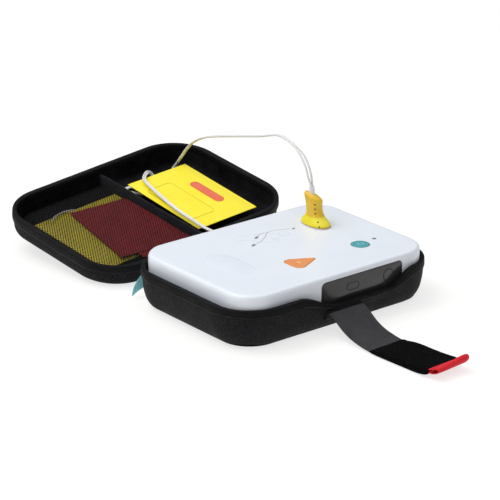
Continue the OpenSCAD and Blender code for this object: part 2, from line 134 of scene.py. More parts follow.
def box_circles(w, d, r, x=0, y=0):
    """The corner circles of a rounded box, for hull()."""
    return [[x + i * (w / 2 - r), y + j * (d / 2 - r), r] for i in (-1, 1) for j in (-1, 1)]


def flat(points, z):
    return np.c_[points, np.full(len(points), float(z))]


def upright(points, y):
    """Points of (x, z) stood up at one y."""
    return np.insert(np.asarray(points, float), 1, y, axis=1)


def opened(points):
    """Points of the closed lid, where they are with the lid laid open."""
    return (np.asarray(points, float) - HINGE) @ LID_TURN.T + HINGE


def turned(points, angle, about):
    a = math.radians(angle)
    p = np.array(points, float)
    p[:, :2] = (p[:, :2] - about) @ np.array([[math.cos(a), math.sin(a)],
                                              [-math.sin(a), math.cos(a)]]) + about
    return p


# ---------- meshes ----------

def piece(name, verts, faces, material, body=None, lid=False, soft=True, tidy=True):
    """A named mesh from points in mm; a lid piece is drawn closed and laid open here."""
    verts = np.asarray(verts, float)
    if lid:
        verts = opened(verts)
    mesh = bpy.data.meshes.new(name)
    mesh.from_pydata((verts * MM).tolist(), [], [tuple(int(i) for i in f) for f in faces])
    if tidy:
        bm = bmesh.new()
        bm.from_mesh(mesh)
        bmesh.ops.recalc_face_normals(bm, faces=bm.faces)
        bm.to_mesh(mesh)
        bm.free()
    obj = bpy.data.objects.new(name, mesh)
    bpy.context.scene.collection.objects.link(obj)
    mesh.materials.append(material)
    for polygon in mesh.polygons:
        polygon.use_smooth = soft
    if soft:
        mesh.set_sharp_from_angle(angle=SHARP)
    if body:
        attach(obj, body)
    return obj


def lofted(rings, closed=False, ends=True):
    """Vertices and faces of a skin through rings of equal count."""
    n, m = len(rings[0]), len(rings)
    verts = [np.vstack(rings)]
    faces = []
    for j in range(m if closed else m - 1):
        k = (j + 1) % m
        for i in range(n):
            ii = (i + 1) % n
            faces.append((j * n + i, j * n + ii, k * n + ii, k * n + i))
    if ends and not closed:
        for ring, base, flip in ((rings[0], 0, True), (rings[-1], (m - 1) * n, False)):
            hub = sum(len(v) for v in verts)
            verts.append(np.mean(ring, axis=0)[None])
            for i in range(n):
                a, b = base + i, base + (i + 1) % n
                faces.append((hub, b, a) if flip else (hub, a, b))
    return np.vstack(verts), faces


def joined(parts):
    """Several (vertices, faces) as one."""
    verts, faces, count = [], [], 0
    for v, f in parts:
        verts.append(np.asarray(v, float))
        faces += [tuple(i + count for i in face) for face in f]
        count += len(v)
    return np.vstack(verts), faces


def button_rings(shape, low, high, edge, crown=0.0, inner=0.0):
    """Rings of a block with a rounded top edge and, with an inner inset, a crowned top."""
    rings = [flat(shape(0), low), flat(shape(0), high - edge)]
    for a in (18, 36, 54, 72, 90):
        a = math.radians(a)
        rings.append(flat(shape(-edge * (1 - math.cos(a))), high - edge + edge * math.sin(a)))
    for k in (0.35, 0.7, 1.0) if inner else ():
        rings.append(flat(shape(-edge - (inner - edge) * k), high + crown * (1 - (1 - k) ** 2)))
    return rings


def frames(path, start=(1, 0, 0), settle=0.0):
    """Headings along a path and side directions that turn with it, settling level if asked."""
    p = np.asarray(path, float)
    t = np.gradient(p, axis=0)
    t /= np.linalg.norm(t, axis=1)[:, None]
    u, sides = np.array(start, float), []
    for d in t:
        level = np.cross(UP, d)
        if settle and np.linalg.norm(level) > 0.6:
            level /= np.linalg.norm(level)
            u = u + settle * (level if level @ u > 0 else -level)
        u = u - (u @ d) * d
        u /= np.linalg.norm(u)
        sides.append(u)
    return t, np.array(sides)


def tube(path, radius, sides=10, start=(1, 0, 0)):
    """A round bar along a path, with one radius or one for each point."""
    p = np.asarray(path, float)
    radius = np.broadcast_to(radius, len(p))
    t, u = frames(p, start)
    v = np.cross(t, u)
    a = np.arange(sides) / sides * 2 * np.pi
    return lofted([p[i] + radius[i] * (np.cos(a)[:, None] * u[i] + np.sin(a)[:, None] * v[i])
                   for i in range(len(p))])


def wobble(points, size, amount, seed=0.0):
    """A smooth, repeatable number for each point."""
    return np.array([noise.noise(Vector(p) / size + Vector((seed, seed * 0.7, 1.3)))
                     for p in points]) * amount


# ---------- materials ----------

WAVE_PITCH = 0.31416  # the wave texture's scale for bands one metre apart


def fill(tree, node, inputs):
    """Gives each named input of a node its value, or the output it follows."""
    for key, value in inputs.items():
        if isinstance(value, bpy.types.NodeSocket):
            tree.links.new(value, node.inputs[key])
        else:
            node.inputs[key].default_value = value


def shader(tree, kind, output, inputs, **settings):
    """Adds a shader node and returns one of its outputs."""
    node = tree.nodes.new("ShaderNode" + kind)
    for key, value in settings.items():
        setattr(node, key, value)
    fill(tree, node, inputs)
    return node.outputs[output]


def ranged(tree, value, low, high, to_low, to_high):
    return shader(tree, "MapRange", "Result", {"Value": value, "From Min": low,
                                               "From Max": high, "To Min": to_low,
                                               "To Max": to_high})


def mixed(tree, factor, a, b):
    a, b = ((*value, 1) if isinstance(value, (tuple, list)) else value for value in (a, b))
    return shader(tree, "Mix", "Result", {"Factor": factor, "A": a, "B": b}, data_type="RGBA")


def stuff(name, colour, second=None, patch=0.03, rough=0.5, rough_by=0.08, fleck=None,
          fleck_size=0.0012, fleck_share=0.5, grain=0.0, grain_size=0.0006, weave=0.0,
          weave_size=(0.001, 0.001), turn=(0, 0, 0), wrinkle=0.0, wrinkle_size=0.02,
          sheen=0.0, coat=0.0, metal=0.0, specular=0.5):
    """A procedural material: broad and fine colour variation, varied roughness, woven or
    grained relief. Sizes are in metres."""
    m = bpy.data.materials.new(name)
    m.use_nodes = True
    tree = m.node_tree
    bsdf = tree.nodes["Principled BSDF"]

    def noised(size, detail=3.0, roughness=0.55):
        return shader(tree, "TexNoise", "Fac", {"Scale": 1 / size, "Detail": detail,
                                                "Roughness": roughness, "Vector": place})

    def plus(a, b, how="ADD"):
        return shader(tree, "Math", "Value", {0: a, 1: b}, operation=how)

    place = shader(tree, "Mapping", "Vector", {
        "Rotation": [math.radians(a) for a in turn],
        "Vector": shader(tree, "TexCoord", "Object", {})})
    second = second or tuple(c * 0.9 for c in colour)
    tint = mixed(tree, ranged(tree, noised(patch), 0.35, 0.65, 0, 1), colour, second)
    if fleck:
        spots = ranged(tree, noised(fleck_size, 2.0, 0.7), 0.62 - 0.2 * fleck_share,
                       0.74 - 0.2 * fleck_share, 0, 1)
        tint = mixed(tree, spots, tint, fleck)
    roughness = ranged(tree, noised(patch * 0.4), 0.3, 0.7, rough - rough_by, rough + rough_by)
    fill(tree, bsdf, {"Base Color": tint, "Roughness": roughness, "Metallic": metal,
                      "Specular IOR Level": specular, "Sheen Weight": sheen,
                      "Sheen Roughness": 0.4, "Coat Weight": coat, "Coat Roughness": 0.08})
    heights = []
    if grain:
        heights.append((noised(grain_size, 2.0, 0.6), grain))
    if wrinkle:
        heights.append((noised(wrinkle_size, 4.0, 0.5), wrinkle))
    if weave:
        bands = [shader(tree, "TexWave", "Fac", {"Scale": WAVE_PITCH / size, "Distortion": 0.6,
                                                 "Detail": 1.0, "Vector": place},
                        wave_type="BANDS", bands_direction=direction)
                 for direction, size in zip("XY", weave_size)]
        heights.append((plus(*bands, "MULTIPLY"), weave))
    total = None
    for value, amount in heights:
        value = plus(value, amount, "MULTIPLY")
        total = value if total is None else plus(total, value)
    if total is not None:
        bump = {"Strength": 1.0, "Distance": 0.001, "Height": total}
        fill(tree, bsdf, {"Normal": shader(tree, "Bump", "Normal", bump)})
    return m


CASE_CLOTH = stuff("case_cloth", (0.0045, 0.0045, 0.0052), (0.0065, 0.0065, 0.0075), 0.05, 0.7,
                   fleck=(0.030, 0.030, 0.034), fleck_size=0.0010, fleck_share=0.55,
                   weave=0.12, weave_size=(0.0012, 0.0012), turn=(35, 25, 45), grain=0.22,
                   grain_size=0.0009, sheen=0.01, specular=0.10)
BINDING = stuff("case_edge", (0.0035, 0.0035, 0.004), (0.006, 0.006, 0.0066), 0.04, 0.6,
                fleck=(0.018, 0.018, 0.020), fleck_size=0.0008, fleck_share=0.35,
                weave=0.10, weave_size=(0.0009, 0.0009), turn=(30, 20, 45), grain=0.12,
                sheen=0.01, specular=0.08)
LINING = stuff("case_lining", (0.0022, 0.0022, 0.0026), (0.011, 0.011, 0.0125), 0.026, 0.9,
               fleck=(0.016, 0.016, 0.018), fleck_size=0.0015, fleck_share=0.4, grain=0.5,
               grain_size=0.0009, sheen=0.01, specular=0.03)
FUZZ = stuff("brushed_band", (0.010, 0.010, 0.0115), (0.015, 0.015, 0.017), 0.012, 0.95,
             fleck=(0.036, 0.036, 0.040), fleck_size=0.0010, grain=0.8,
             grain_size=0.0010, sheen=0.06, specular=0.08)
WEBBING = stuff("webbing", (0.036, 0.036, 0.039), (0.048, 0.048, 0.052), 0.02, 0.7,
                fleck=(0.070, 0.070, 0.075), fleck_size=0.0009, fleck_share=0.3,
                weave=0.7, weave_size=(0.0021, 0.0013), turn=(0, 0, 12), grain=0.2,
                grain_size=0.0004, sheen=0.05, specular=0.2)
HOOK = stuff("hook_and_loop", (0.0016, 0.0016, 0.0017), (0.0035, 0.0035, 0.0038), 0.008, 0.95,
             fleck=(0.013, 0.013, 0.014), fleck_size=0.0013, fleck_share=0.35, grain=1.2,
             grain_size=0.0012, sheen=0.01, specular=0.02)
RED_TAB = stuff("red_tab", (0.84, 0.024, 0.040), (0.74, 0.018, 0.032), 0.012, 0.6,
                weave=0.5, weave_size=(0.0012, 0.0012), turn=(0, 0, 45), grain=0.2, sheen=0.04,
                specular=0.12)
RIBBON = stuff("ribbon", (0.22, 0.74, 0.79), (0.34, 0.86, 0.90), 0.012, 0.5,
               weave=0.5, weave_size=(0.0009, 0.0016), turn=(90, 0, 0), sheen=0.35)
NET = stuff("net_thread", (0.003, 0.003, 0.0034), (0.006, 0.006, 0.0065), 0.01, 0.75,
            fleck=(0.014, 0.014, 0.015), fleck_size=0.0008, grain=0.4, grain_size=0.0003,
            sheen=0.02, specular=0.1)
WHITE = stuff("shell_plastic", (0.80, 0.84, 0.90), (0.78, 0.825, 0.89), 0.05, 0.34, 0.05,
              grain=0.10, grain_size=0.0007, coat=0.12)
GREY = stuff("grille_plastic", (0.75, 0.79, 0.86), (0.73, 0.77, 0.84), 0.03, 0.5, 0.05,
             weave=0.06, weave_size=(0.0036, 0.0036), turn=(0, 0, 45), grain=0.12)
SMOKED = stuff("smoked_panel", (0.026, 0.026, 0.028), (0.020, 0.020, 0.021), 0.03, 0.22, 0.04,
               wrinkle=0.05, wrinkle_size=0.03, coat=0.25, specular=0.4)
TRIM_DARK = stuff("dark_trim", (0.010, 0.010, 0.011), (0.014, 0.014, 0.015), 0.01, 0.4,
                  grain=0.1, specular=0.2)
ORANGE = stuff("orange_key", (0.82, 0.30, 0.095), (0.76, 0.27, 0.085), 0.01, 0.38, 0.05,
               grain=0.12, coat=0.15)
TEAL = stuff("teal_key", (0.060, 0.36, 0.40), (0.050, 0.32, 0.36), 0.01, 0.36, 0.05,
             grain=0.12, coat=0.15)
# Pale colour of the thin rings round the keys: painted highlight where the key openings' edges
# catch the light, not print
KEY_HIGHLIGHT = stuff("key_highlight_paint", (0.86, 0.86, 0.80), (0.80, 0.80, 0.74), 0.006, 0.5, grain=0.08)
AMBER_PRINT = stuff("amber_print", (0.85, 0.62, 0.20), (0.80, 0.55, 0.17), 0.004, 0.5, grain=0.08)
AQUA_PRINT = stuff("aqua_print", (0.30, 0.66, 0.68), (0.26, 0.60, 0.62), 0.004, 0.5, grain=0.08)
LENS = stuff("lamp_lens", (0.22, 0.23, 0.25), (0.16, 0.17, 0.18), 0.002, 0.2, coat=0.5,
             grain=0.05)
PRINT = stuff("line_print", (0.56, 0.58, 0.63), (0.60, 0.62, 0.67), 0.004, 0.6, grain=0.08)
PRINT_DARK = stuff("pad_print", (0.20, 0.21, 0.22), (0.26, 0.27, 0.28), 0.003, 0.6, grain=0.08)
PLUG = stuff("plug_plastic", (0.90, 0.58, 0.030), (0.86, 0.53, 0.024), 0.01, 0.42, 0.06,
             grain=0.25, grain_size=0.0009, coat=0.1)
PLUG_LIGHT = stuff("plug_flange", (0.94, 0.82, 0.035), (0.91, 0.77, 0.03), 0.01, 0.40, 0.06,
                   grain=0.2, grain_size=0.0009, coat=0.1)
LEAD = stuff("lead_sheath", (0.80, 0.79, 0.77), (0.74, 0.73, 0.71), 0.02, 0.42, 0.05,
             grain=0.10, grain_size=0.0008, coat=0.08)
POUCH = stuff("pouch_foil", (0.96, 0.82, 0.022), (0.94, 0.79, 0.018), 0.03, 0.38, 0.08,
              wrinkle=0.18, wrinkle_size=0.012, grain=0.05, coat=0.08)
PACKET = stuff("packet_foil", (0.72, 0.58, 0.03), (0.62, 0.50, 0.03), 0.03, 0.42, 0.08,
               wrinkle=0.6, wrinkle_size=0.014, grain=0.05, coat=0.1)
LOZENGE = stuff("label_film", (0.80, 0.16, 0.075), (0.76, 0.14, 0.065), 0.01, 0.45, grain=0.08)
OUTLINE = stuff("outline_print", (0.78, 0.56, 0.02), (0.74, 0.52, 0.02), 0.01, 0.5, grain=0.08)
PAPER = stuff("leaflet_paper", (0.30, 0.012, 0.018), (0.35, 0.018, 0.024), 0.02, 0.6,
              fleck=(0.40, 0.07, 0.07), fleck_size=0.002, fleck_share=0.2, grain=0.2,
              grain_size=0.0005, specular=0.3)
RUBBER = stuff("rubber", (0.020, 0.020, 0.021), (0.028, 0.028, 0.029), 0.01, 0.8, grain=0.4)
DOME = stuff("keypad_rubber", (0.22, 0.22, 0.23), (0.19, 0.19, 0.20), 0.01, 0.7, grain=0.3)
BOARD = stuff("circuit_board", (0.012, 0.12, 0.045), (0.010, 0.095, 0.036), 0.008, 0.4,
              fleck=(0.03, 0.20, 0.08), fleck_size=0.003, fleck_share=0.4, grain=0.3)
CHIP = stuff("component_black", (0.018, 0.018, 0.020), (0.03, 0.03, 0.032), 0.004, 0.5, grain=0.3)
CELL = stuff("cell_jacket", (0.62, 0.33, 0.03), (0.55, 0.29, 0.03), 0.01, 0.3, coat=0.3,
             grain=0.1)
STEEL = stuff("screw_steel", (0.55, 0.55, 0.57), (0.48, 0.48, 0.50), 0.004, 0.3, metal=1.0,
              grain=0.3, grain_size=0.0004)
BRASS = stuff("contact_brass", (0.75, 0.55, 0.22), (0.68, 0.48, 0.18), 0.004, 0.3, metal=1.0,
              grain=0.3, grain_size=0.0004)
THREAD = stuff("thread", (0.010, 0.010, 0.011), (0.018, 0.018, 0.020), 0.004, 0.8, grain=0.8,
               grain_size=0.0003, sheen=0.3)


# ---------- pad leads ----------

TWIN_RADIUS, TWIN_WIDTH = 1.2, 0.0048  # one of the two thin leads, mm; both side by side, m
SPARE_RADIUS, SPARE_WIDTH = 1.1, 0.0022

PLUG_ROUTE = [
    [74, 38.2, 108], [74, 42, 118], [75, 49, 131], [76, 62, 143], [77, 82, 151], [79, 106, 152]]
LID_ROUTE = [
    [79, 106, 152], [82, 142, 141], [85, 194, 127], [89, 250, 111], [92, 281, 97],
    [94, 299, 83], [95, 312, 69], [94, 321, 57], [90, 325, 49], [81, 320, 45],
    [73, 308, 43], [61, 298, 41], [41, 295, 39], [27, 298, 38], [18, 306, 39],
    [14, 314, 40], [16, 321, 41], [24, 321, 41], [32, 312, 40], [42, 307, 41],
    [52, 311, 42], [57, 319, 46], [55, 323, 52], [47, 319, 56], [38, 312, 56],
    [31, 304, 55], [27, 294, 54], [24, 280, 52], [19, 247, 47], [16, 213, 42],
    [16, 184, 38], [18, 167, 34], [23, 157, 31], [31, 155, 27], [37, 161, 23],
    [38, 172, 21], [38, 182, 22]]
LEAD_END = [[-98, -57, 66.7], [-92, -63, 66.7], [-82, -67, 66.7], [-70, -67.5, 66.7],
            [-59, -63.5, 66.7]]


def length_of(path):
    """Length in metres of a path in mm."""
    return float(np.linalg.norm(np.diff(path, axis=0), axis=1).sum()) * MM


lead_path = spline(PLUG_ROUTE + LID_ROUTE[1:], 10)
crown = 10 * (len(PLUG_ROUTE) - 1)
along = np.r_[0, np.cumsum(np.linalg.norm(np.diff(lead_path, axis=0), axis=1))]
# The two leads lie side by side, and part a little above the plug
parting = 1.22 + 1.3 * smooth(1, 14, along) * (1 - smooth(30, 62, along))
_, lead_sides = frames(lead_path, settle=0.10)


def twin(first, last):
    """Two thin leads side by side along a stretch of the path."""
    part = slice(first, last + 1)
    return joined([tube(lead_path[part] + side * (lead_sides * parting[:, None])[part],
                        TWIN_RADIUS, 12) for side in (-1, 1)])


# One lead in four pieces: it follows the plug, bends over its crown, and then lies in the lid
above_plug, into_lid = 15, crown + 60
crown_path = lead_path[above_plug:crown + 1]
lid_path = lead_path[crown:into_lid + 1]
pouch_path = lead_path[into_lid:]
lead_plug = piece("lead_plug", *twin(0, above_plug), LEAD)
lead_crown = piece("lead_crown", *twin(above_plug, crown), LEAD)
lead_lid = piece("lead_lid", *twin(crown, into_lid), LEAD)
lead_pouch = piece("lead_pouch", *twin(into_lid, len(lead_path) - 1), LEAD, "lid")
packet_path = opened(spline(LEAD_END, 8))
packet_lead = piece("spare_lead", *tube(packet_path, SPARE_RADIUS, 12), LEAD, "lid")
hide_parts("packet_lead")

# The plug, as rows of z, x, y and half widths: a flared foot, then a waisted grip whose top
# slopes. A tapered relief for the leads stands on it
PLUG_SHAPE = [
    [63.8, 76.4, 34, 11.2, 19.8], [64.4, 76.4, 34, 12.2, 20.8], [65.4, 76.4, 34, 12.4, 21],
    [66.8, 76.4, 34, 12.2, 20.7], [69.2, 76.3, 34.4, 11.2, 18.4], [72.5, 76.2, 34.9, 9.8, 14.2],
    [77, 76.2, 35.4, 8.8, 10.8], [84, 76, 36, 8.4, 9.8], [91, 75.8, 36.6, 8.6, 10.6],
    [95.5, 75.4, 37.1, 9, 11.4], [98, 74.8, 37.8, 8, 10.2], [99.3, 74.3, 38.3, 6.4, 8.2],
    [100, 74, 38.6, 4.4, 5.8]]


def plug_outline(a, x, y, w, l):
    """The plug's softened oval at the angles a."""
    c, s = np.cos(a), np.sin(a)
    return x + w * np.sign(c) * np.abs(c) ** 0.88, y + l * np.sign(s) * np.abs(s) ** 0.88


def plug_rings(shape, steps=56):
    out = []
    a = np.arange(steps) / steps * 2 * np.pi
    for z, *oval in spline(shape, 4):
        px, py = plug_outline(a, *oval)
        fall = 0.36 * (0.78 * (px - 75) - 0.63 * (py - 37.5))
        out.append(np.c_[px, py, z - fall * smooth(86, 100, z)])
    return out


plug_body = piece("plug_body", *lofted(plug_rings(PLUG_SHAPE)), PLUG, "plug")
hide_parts("plug_shell")
plug_body.data.materials.append(PLUG_LIGHT)
FLANGE = (0.0655, 0.0745)  # the lighter moulding of the foot
for polygon in plug_body.data.polygons:
    if FLANGE[0] < polygon.center.z < FLANGE[1]:
        polygon.material_index = 1
relief_path = spline([[74, 38.5, 99.6], [74, 38.4, 101], [74, 38.3, 103], [74, 38.2, 105],
                      [74, 38.25, 108.2]], 4)
relief = piece("plug_relief", *tube(relief_path, np.linspace(4.0, 2.9, 17), 24), LEAD, "plug")
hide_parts("plug_boot")
dimples = []
for z, x, y, w, l in ((66.2, 76.4, 34, 12.3, 20.8), (70.6, 76.25, 34.6, 10.6, 16.9),
                      (79, 76.15, 35.6, 8.65, 10.4), (84.5, 76, 36, 8.4, 9.8),
                      (90, 75.85, 36.5, 8.55, 10.5)):
    for degrees in (229, 49):
        a = math.radians(degrees)
        spot = np.array([*plug_outline(a, x, y, w, l), z])
        out = np.array([math.cos(a) / w, math.sin(a) / l, 0])
        out /= np.linalg.norm(out)
        dimples.append(tube([spot - out * 0.8, spot, spot + out * 0.2], [0.95, 0.95, 0.6], 12, UP))
plug_dots = piece("plug_dots", *joined(dimples), TRIM_DARK, "plug")

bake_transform(lead_plug)
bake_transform(lead_crown)
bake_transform(lead_lid)
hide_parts("lead_plug_side")
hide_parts("lead_lid_side")
PAIR, SPARE = (TWIN_WIDTH, "medium"), (SPARE_WIDTH, "limp")
for lead, path, (width, feel), attached in (
        (lead_crown, crown_path, PAIR, [lead_plug, plug_body, relief, "plug_blade", plug_dots]),
        (lead_pouch, pouch_path, PAIR, []), (lead_lid, lid_path, PAIR, []),
        (packet_lead, packet_path, SPARE, [])):
    length_of(path)
    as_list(attached)


# ---------- case: tray ----------

RIM, BEND = 48, 20  # height of the tray's rim, and where the wall starts to follow its dip
FRONT = -CASE_D / 4


def rim_at(p):
    """Height of the tray's rim: it dips along the front, to show the device's window."""
    dip = 17 * smooth(-62, -10, p[:, 0]) * (1 - smooth(64, 104, p[:, 0]))
    return RIM - np.where(p[:, 1] > FRONT, 0, dip)


def tray_ring(inset, z, r):
    p = rounded(CASE_W - 2 * inset, CASE_D - 2 * inset, r)
    h = np.full(len(p), float(z))
    if z > BEND:
        h = BEND + (z - BEND) * (rim_at(p) - BEND) / (RIM - BEND)
    return np.c_[p, h]


def skin(rings, amount, size, seed):
    """Moves the rings of a fabric skin in and out a little."""
    out = []
    for ring in rings:
        face = ring[:, :2] / np.linalg.norm(ring[:, :2], axis=1)[:, None]
        push = wobble(ring, size, amount, seed)
        moved = ring.copy()
        moved[:, :2] += face * push[:, None]
        out.append(moved)
    return out


def edging(name, profile, ring_of, seed, body, lid=False):
    """The bound edge of the tray or the lid."""
    rings = skin([ring_of(*s) for s in spline(profile, 3, True)], 0.2, 18, seed)
    return piece(name, *lofted(rings, closed=True), BINDING, body, lid)


def line_inside(skin_piece, *spans):
    """Gives the faces of these index spans the lining's look."""
    skin_piece.data.materials.append(LINING)
    for polygon in skin_piece.data.polygons:
        if any(first <= polygon.index < end for first, end in spans):
            polygon.material_index = 1


outer = spline([[24, 0.25, 30], [17, 0.9, 34], [12.4, 3.5, 38], [8.5, 8, 42], [5, 15, 47],
                [2.5, 24, 51], [0.9, 34, 54], [0.35, 40, 55.6], [0.6, 46.6, 55.2]], 4)
inner = spline([[6.5, 46.6, 43], [6.8, 41, 42.8], [8, 24, 41], [9.5, 10, 39], [13, 3.2, 34]], 4)
tray_rings = [tray_ring(30, 0.25, 26)] + skin([tray_ring(*s) for s in outer], 0.35, 26, 1.0) \
    + [tray_ring(*s) for s in inner] + [tray_ring(24, 3.2, 26)]
n_side = len(tray_rings[0])
tray_skin = piece("tray_skin", *lofted(tray_rings), CASE_CLOTH, "case")
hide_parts("tray_shell")
line_inside(tray_skin, ((len(outer) + 1) * n_side, len(tray_skin.data.polygons)))

trim = [[-0.1, 37.2, 56], [-0.8, 38.4, 56.8], [-1.0, 42, 57], [-0.9, 46.2, 57], [-0.2, 47.6, 56],
        [1.2, 48, 54.4], [3.4, 48.05, 49], [5.4, 48, 44.4], [6.7, 47.4, 43], [7.2, 46, 42.5],
        [7.4, 41, 42.2], [6.7, 40.8, 42.8], [6.4, 45.6, 43], [3.2, 47, 50], [0.7, 45.6, 55],
        [0.9, 38, 54.6]]
tray_edge = edging("tray_edge", trim, tray_ring, 4.0, "case")
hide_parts("tray_binding")


def quilt(name, w, d, r, z, amount, size, material, body, lid=False, seed=0.0):
    """A gently uneven fabric floor, as rings drawn in towards the middle."""
    rings = []
    for k in np.linspace(0, 0.97, 26):
        ring = flat(rounded(w * (1 - k), d * (1 - k), max(r * (1 - k), 0.4), 10, 24, 14), z)
        ring[:, 2] += wobble(ring, size, amount, seed)
        rings.append(ring)
    verts, faces = lofted(rings, ends=False)
    return piece(name, verts, faces, material, body, lid)


tray_floor = quilt("tray_floor", 258, 183, 28, 4.1, 0.25, 24, LINING, "case", seed=2.0)
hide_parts("tray_liner")


def seam(name, ring, every, stitch, radius, body, lid=False):
    """A row of raised stitches along a closed line."""
    p = np.vstack([ring, ring[:1]])
    s = np.r_[0, np.cumsum(np.linalg.norm(np.diff(p, axis=0), axis=1))]
    parts = []
    for start in np.arange(0, s[-1] - every, every):
        at = np.linspace(start, start + stitch, 4)
        line = np.c_[[np.interp(at, s, p[:, i]) for i in range(3)]].T
        parts.append(tube(line, np.array([0.4, 1, 1, 0.4]) * radius, 6, (0.3, 0.2, 1)))
    return piece(name, *joined(parts), THREAD, body, lid)


seam("tray_seam", tray_ring(-0.95, 39.6, 57), 3.6, 2.5, 0.28, "case")


# ---------- case: lid, drawn closed and laid open ----------

LID_GAP = 0.4  # between the closed lid and the tray's rim


def lid_ring(inset, z, r):
    return flat(rounded(CASE_W - 2 * inset, CASE_D - 2 * inset, r), RIM + LID_GAP + z)


inside = spline([[11, 25.6, 38], [9.6, 24, 40], [8.5, 21, 41], [6.8, 7, 42.8], [6.5, 1.6, 43]], 4)
outside = spline([[0.6, 1.6, 55], [0.4, 6, 56], [0.9, 11, 55.2], [1.2, 18, 54.5], [2.4, 23, 53],
                  [5, 25.9, 50], [9, 27.8, 46], [15, 28.6, 40], [30, 28.6, 30]], 4)
lid_rings = [lid_ring(20, 25.7, 32)] + [lid_ring(*s) for s in inside] \
    + skin([lid_ring(*s) for s in outside], 0.3, 26, 7.0)
lid_skin = piece("lid_skin", *lofted(lid_rings), CASE_CLOTH, "lid", lid=True)
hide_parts("lid_shell")
first_cap = (len(lid_rings) - 1) * n_side
line_inside(lid_skin, (0, (len(inside) + 1) * n_side), (first_cap, first_cap + n_side))

lid_trim = [[7.4, 7, 42.2], [7.2, 2.6, 42.5], [6.7, 0.9, 43], [5.4, 0.1, 44.4], [3.4, -0.05, 49],
            [1.2, 0.1, 54.4], [-0.2, 0.5, 56], [-0.9, 1.8, 57], [-1.0, 6, 57], [-0.8, 9.6, 56.8],
            [-0.1, 10.8, 56], [0.9, 10, 54.6], [0.7, 3, 55], [3.2, 1.4, 50], [6.4, 2.6, 43],
            [6.7, 7.2, 42.8]]
lid_edge = edging("lid_edge", lid_trim, lid_ring, 9.0, "lid", lid=True)
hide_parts("lid_binding")
seam("lid_seam", lid_ring(-0.95, 8.6, 57), 3.6, 2.5, 0.28, "lid", lid=True)
lid_lining = quilt("lid_lining", 266, 191, 34, 72.6, 0.5, 22, LINING, "lid", lid=True, seed=3.0)
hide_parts("lid_liner")


def wall(name, x, y0, y1, low, high, half, material, body):
    """An upright fabric band with a rounded free edge at its low side."""
    rings = []
    for y in np.linspace(y0, y1, 60):
        bow = 0.6 * math.sin((y - y0) / (y1 - y0) * math.pi * 3)
        section = [[-half, high], [-half, low + half], [-half * 0.8, low + half * 0.4],
                   [-half * 0.3, low], [half * 0.3, low], [half * 0.8, low + half * 0.4],
                   [half, low + half], [half, high]]
        rise = 0.25 * math.sin(y * 0.31)
        rings.append(np.array([[x + bow + across, y, up + rise] for across, up in section]))
    return piece(name, *lofted(rings), material, body, lid=True)


divider = wall("divider_band", 11, -101.6, 101.6, 56.6, 72.4, 1.8, FUZZ, "lid")
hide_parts("lid_divider")


# ---------- padded and flat goods in the lid ----------

WELD = 0.35  # half the thickness of a welded rim


def two_sided(nx, ny):
    """Faces of a top and a bottom grid of nx by ny cells, joined round their rim."""
    def at(i, j):
        return j * (nx + 1) + i

    n, faces = (nx + 1) * (ny + 1), []
    for j in range(ny):
        for i in range(nx):
            cell = at(i, j), at(i + 1, j), at(i + 1, j + 1), at(i, j + 1)
            faces += [cell, tuple(n + cell[k] for k in (0, 3, 2, 1))]
    rim = [at(i, 0) for i in range(nx)] + [at(nx, j) for j in range(ny)] \
        + [at(i, ny) for i in range(nx, 0, -1)] + [at(0, j) for j in range(ny, 0, -1)]
    return faces + [(a, n + a, n + b, b) for a, b in zip(rim, rim[1:] + rim[:1])]


def pillow(name, x, y, w, d, low, high, rim, band, angle, material, step=2.2, corner=3.0,
           puff=0.0, seed=0.0, lid=True, rim_share=0.5):
    """A flat sealed packet: thin welded rim, then a swell to its full thickness."""
    nx, ny = int(w / step), int(d / step)
    gx, gy = np.linspace(-w / 2, w / 2, nx + 1), np.linspace(-d / 2, d / 2, ny + 1)
    middle_z = low + (high - low) * rim_share

    def face(side):
        full = high - middle_z if side > 0 else middle_z - low
        rows = []
        for b in gy:
            for a in gx:
                ex, ey = w / 2 - abs(a), d / 2 - abs(b)
                gone = math.hypot(corner - ex, corner - ey) / corner
                if ex < corner and ey < corner and gone > 1:
                    pull = 0.10 * (gone - 1) * corner
                    rows.append([a / (1 + pull / (w / 2)), b / (1 + pull / (d / 2)),
                                 middle_z + side * WELD])
                    continue
                swell = float(smooth(rim, rim + band, min(ex, ey))) \
                    * min(1, 0.55 + 0.45 * math.hypot(ex, ey) / (rim + band + 1))
                rows.append([a, b, middle_z + side * (WELD + (full - WELD) * swell)])
        return np.array(rows)

    top, bottom = face(1), face(-1)
    for part, side in ((top, 1), (bottom, -1)):
        amount = wobble(part, 17, puff, seed)
        share = np.abs(part[:, 2] - middle_z) / max((high - low) / 2, 0.1)
        part[:, 2] += amount * np.clip(share, 0.12, 1)
    verts = turned(np.vstack([top, bottom]) + [x, y, 0], angle, (x, y))
    return piece(name, verts, two_sided(nx, ny), material, lid=lid)


